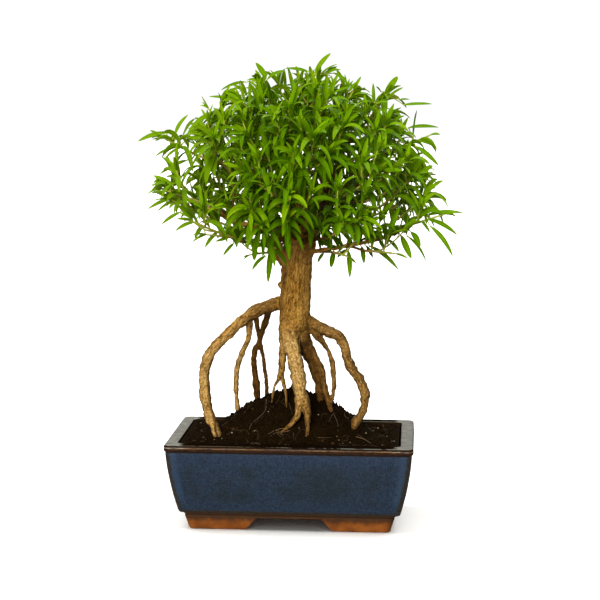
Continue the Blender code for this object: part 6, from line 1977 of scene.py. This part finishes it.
# Leaves that stand out in the outline: where the leaf leaves its stem and where it ends in the photograph,
# how deep each end lies, its width there in pixels, its arch, how oval and how young it is.
EDGE_LEAVES = [
    # lower right branch, left to right
    ((324, 252.5), (317.5, 263), -6, -9, 3.4, 0.10, 0.1, 0.1), ((334, 251), (331, 267.5), -7, -12, 5.2, 0.05, 0.6, 0.2),
    ((347, 249.5), (337, 258), -7, -12, 3.6, 0.10, 0.1, 0.0), ((348, 250), (349.7, 278), -8, -14, 5.0, 0.06, 0.2, 0.2),
    ((361.5, 246.5), (364, 263.5), -8, -14, 4.6, 0.06, 0.3, 0.1), ((366, 246), (373, 258), -8, -2, 4.0, 0.1, 0.2, 0.1),
    ((369, 246), (398.8, 270.5), -9, -14, 4.6, 0.14, 0.1, 0.3), ((388, 239.5), (399, 252), -10, -14, 3.8, 0.12, 0.2, 0.2),
    ((401, 235.5), (411.5, 259), -10, -16, 6.0, 0.05, 0.3, 0.3), ((407, 236), (426.6, 263), -11, -6, 3.0, 0.16, 0.0, 0.2),
    ((411, 232), (420, 247.5), -11, -18, 5.6, 0.18, 0.4, 0.4), ((430, 226), (453, 257), -12, -16, 5.0, 0.14, 0.1, 0.5),
    ((426, 219), (457.6, 235.5), -12, -14, 4.8, 0.16, 0.1, 0.5), ((426, 216), (464, 213), -12, -12, 4.6, 0.13, 0.1, 0.5),
    ((421, 221), (430, 233), -12, -16, 3.0, 0.1, 0.1, 0.4), ((428, 209), (445, 216), -12, -4, 2.6, 0.16, 0.0, 0.4),
    # right edge
    ((425, 196), (437, 184), -10, -12, 5.4, 0.20, 0.5, 0.8), ((420, 178), (432.5, 165.5), -10, -12, 6.0, 0.16, 0.7, 0.9),
    ((422, 173), (437, 184.5), -8, -4, 2.8, 0.18, 0.0, 0.4), ((415, 146), (438.8, 166), -6, -10, 5.0, 0.10, 0.2, 0.4),
    ((418, 141), (436, 148), -4, 0, 3.4, 0.16, 0.1, 0.3), ((408, 128), (439, 127.5), 0, 2, 4.2, 0.10, 0.1, 0.5),
    ((403, 105), (432.5, 104), 4, 8, 3.6, 0.05, 0.3, 0.4), ((399, 100), (410, 99.5), 4, 2, 2.6, 0.1, 0.0, 0.5),
    # small leaves over the lower right branch
    ((330, 247), (318, 241.5), -7, -10, 3.6, 0.10, 0.2, 0.1), ((352, 246), (345, 233), -8, -11, 4.4, 0.08, 0.2, 0.1),
    ((358, 245), (363, 231), -8, -12, 4.2, 0.08, 0.3, 0.2), ((366, 243.5), (386, 236.5), -9, -13, 5.4, 0.14, 0.3, 0.3),
    ((384, 239.5), (397, 227), -10, -14, 4.8, 0.10, 0.2, 0.3), ((343, 247.5), (334, 236.5), -8, -12, 4.4, 0.10, 0.2, 0.1),
    ((373, 242), (371, 227), -9, -13, 4.6, 0.08, 0.2, 0.2), ((394, 236), (406, 224), -10, -13, 4.6, 0.10, 0.2, 0.4),
    ((338, 247.5), (327, 247), -8, -12, 3.8, 0.12, 0.2, 0.1), ((379, 240), (384, 249), -10, -13, 3.8, 0.10, 0.3, 0.2),
    ((390, 237), (380, 226), -9, -11, 4.4, 0.12, 0.2, 0.3), ((404, 233), (416, 221), -10, -13, 4.8, 0.10, 0.2, 0.5),
    # top
    ((385, 96), (398, 76.5), 2, 0, 6.4, 0.06, 0.8, 0.7), ((381, 92), (376, 86.5), 0, -4, 3.4, 0.05, 0.1, 0.7),
    ((388, 98), (403.5, 87.5), 0, -6, 3.4, 0.1, 0.2, 0.6), ((349, 92), (356, 82), 0, 0, 3.4, 0.05, 0.2, 0.8),
    ((315, 74), (331, 53), 0, -2, 5.0, 0.12, 0.2, 0.8), ((326, 73), (337.5, 66.5), 0, 2, 3.4, 0.1, 0.1, 0.6),
    ((333, 73), (349, 86), 0, -6, 3.6, 0.18, 0.1, 0.4), ((309, 72), (284.5, 68.5), 2, 6, 3.8, 0.10, 0.1, 0.5),
    ((266, 79), (255.5, 62.5), -1, -2, 5.4, 0.10, 0.2, 0.7), ((267, 80), (286, 71), -1, -4, 4.2, 0.22, 0.2, 0.6),
    ((246, 82), (220.5, 90.5), 0, 0, 3.8, 0.14, 0.1, 0.4), ((233, 98), (208.5, 96.5), 2, 4, 3.0, 0.03, 0.1, 0.4),
    ((221, 107), (226, 89.5), -4, -8, 4.4, 0.14, 0.3, 0.4), ((220, 111), (187, 134), -8, -14, 5.0, 0.20, 0.1, 0.3),
    # left edge
    ((168, 133), (137.4, 142), -2, -6, 4.6, 0.16, 0.2, 0.4), ((176, 139), (152, 139.5), -2, 2, 3.4, 0.12, 0.1, 0.3),
    ((175, 135), (188.5, 114.5), -2, -4, 4.2, 0.16, 0.1, 0.7), ((179, 147), (154.5, 157), -3, -8, 3.6, 0.16, 0.1, 0.2),
    ((181, 148), (164.5, 159.5), -3, -14, 3.4, 0.16, 0.2, 0.2), ((188, 160), (159.5, 174.5), -6, -12, 4.6, 0.10, 0.2, 0.2),
    ((173.5, 186), (152.5, 175.5), -10, -12, 4.4, 0.12, 0.3, 0.7), ((172, 185), (145.7, 195.5), -10, -14, 3.0, 0.18, 0.0, 0.6),
    ((178, 197), (147.3, 209.5), -10, -16, 4.6, 0.12, 0.2, 0.3), ((180, 198), (157.3, 211.5), -10, -18, 3.8, 0.12, 0.1, 0.2),
    ((181, 212), (161.2, 224.8), -10, -14, 3.8, 0.10, 0.1, 0.2), ((196, 222), (175, 231.5), -10, -14, 4.0, 0.18, 0.1, 0.1),
    ((203, 225), (194.7, 238.4), -10, -16, 4.8, 0.06, 0.3, 0.1), ((219, 231), (204.8, 248), -11, -16, 4.4, 0.12, 0.2, 0.1),
    ((235, 233), (214.6, 241.6), -10, -12, 4.2, -0.10, 0.2, 0.1), ((234, 243), (223, 256), -12, -18, 3.6, 0.05, 0.1, 0.1),
    ((250, 242), (228.5, 236.5), -14, -14, 4.4, -0.16, 0.2, 0.0), ((256, 246), (254.2, 260.5), -18, -22, 5.0, 0.05, 0.5, 0.2),
    ((266, 256), (252, 270.5), -18, -22, 4.0, 0.18, 0.1, 0.2), ((273, 243), (268, 283), -18, -24, 5.8, 0.06, 0.3, 0.3),
]


def nearest_limb(point, limbs):
    best = None
    for path in limbs:
        d = np.linalg.norm(path[:, :3] - point, axis=1)
        k = int(d.argmin())
        if best is None or d[k] < best[0]:
            best = (d[k], path[k])
    return best


def add_edge_leaves(sprays, found, limbs):
    for k, (root, tip, depth0, depth1, width, arch, oval, youth) in enumerate(EDGE_LEAVES):
        a, b = seen_at(*root, depth0), seen_at(*tip, depth1)
        name = min(found, key=lambda n: min(np.linalg.norm(bezier(*found[n][1][:3], t) - a) for t in (0.2, 0.5, 0.8, 1.0)))
        base, bend, end, _ = found[name][1]
        # join its stalk to the shoot or the limb that carries it
        stem_points = [bezier(base, bend, end, t) for t in np.linspace(0, 1, 21)]
        on_stem = min(stem_points, key=lambda q: np.linalg.norm(q - a))
        reach, row = nearest_limb(a, limbs)
        anchor = on_stem if np.linalg.norm(on_stem - a) < reach else row[:3]
        gap = np.linalg.norm(anchor - a)
        spray = sprays[name]
        if gap > 0.8:
            into = unit(b - a)
            middle = (anchor + a) / 2 + AXIS_Z * gap * 0.12
            path = []
            for n in range(9):
                t = n / 8
                p = bezier(anchor, middle, a + into * 0.5, t)
                path.append((*p, 0.44 - 0.14 * t))
            spray.stem(np.array(path), 0.6, 1.0, 6)
        points, ways = spine_between(a, b, arch, (hash01(k, 3) - 0.5) * 0.1)
        d = unit(b - a)
        # its upper side faces up and to the front, so that its breadth shows
        face = unit(np.array([0.0, -0.86, 0.50 + 0.3 * hash01(k, 1)]))
        across = unit(np.cross(d, face))
        spray.leaf(points, ways, across, face, width * 0.68, 0.12 + 0.14 * hash01(k, 4), (hash01(k, 5) - 0.5) * 0.4,
                   oval, youth * 0.8, hash01(k, 6), 0.05, hash01(k, 7))
        crown.add(np.array([points[3], points[6], points[9]]))


# ---------------------------------------------------------------------------
# the whole scene
# ---------------------------------------------------------------------------
def main_scene():
    make_camera()
    make_studio()
    make_pot()
    paint_screens()
    make_soil(None)
    make_fibres()
    frames = shoot_frames()
    main, paths, twigs = limb_paths(frames)
    found = match_frames(frames)
    used = {index for index, _ in found.values()}
    make_trunk(main)
    bag, _ = make_twigs(main, paths, twigs, used)
    finish_twigs(bag)
    limbs = [smooth_path(p, 4) for p in main.values()] + [smooth_path(p, 4) for p in paths] + [p for i, p in twigs.items() if i in used]
    # the outline leaves are placed first, so that the others keep clear of them
    first = {name: Spray(index, name) for name, (index, _) in sorted(found.items())}
    add_edge_leaves(first, found, limbs)
    made = make_leaves(found)
    blade, stem = leaf_paint(), stem_paint()
    total = 0
    for name, spray in sorted(made.items()):
        extra = first[name].bag
        offset = spray.bag.count
        spray.bag.verts += extra.verts
        spray.bag.quads += [q + offset for q in extra.quads]
        spray.bag.tris += [t + offset for t in extra.tris]
        spray.bag.quad_mat += extra.quad_mat
        spray.bag.tri_mat += extra.tri_mat
        for key in spray.bag.values:
            spray.bag.values[key] += extra.values[key]
        spray.bag.count += extra.count
        spray.leaves += first[name].leaves
        obj = spray.bag.make(name + "_leaves", [blade, stem], sharp=60)
        finish_piece(obj, "leafy_shoot", name)
        total += spray.leaves
    print("leaves", total)
    faces = {o.name: sum(len(p.vertices) - 2 for p in o.data.polygons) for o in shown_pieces() if o.type == "MESH"}
    print("triangles", sum(faces.values()), "most", sorted(((v, k) for k, v in faces.items()), reverse=True)[:6])


main_scene()
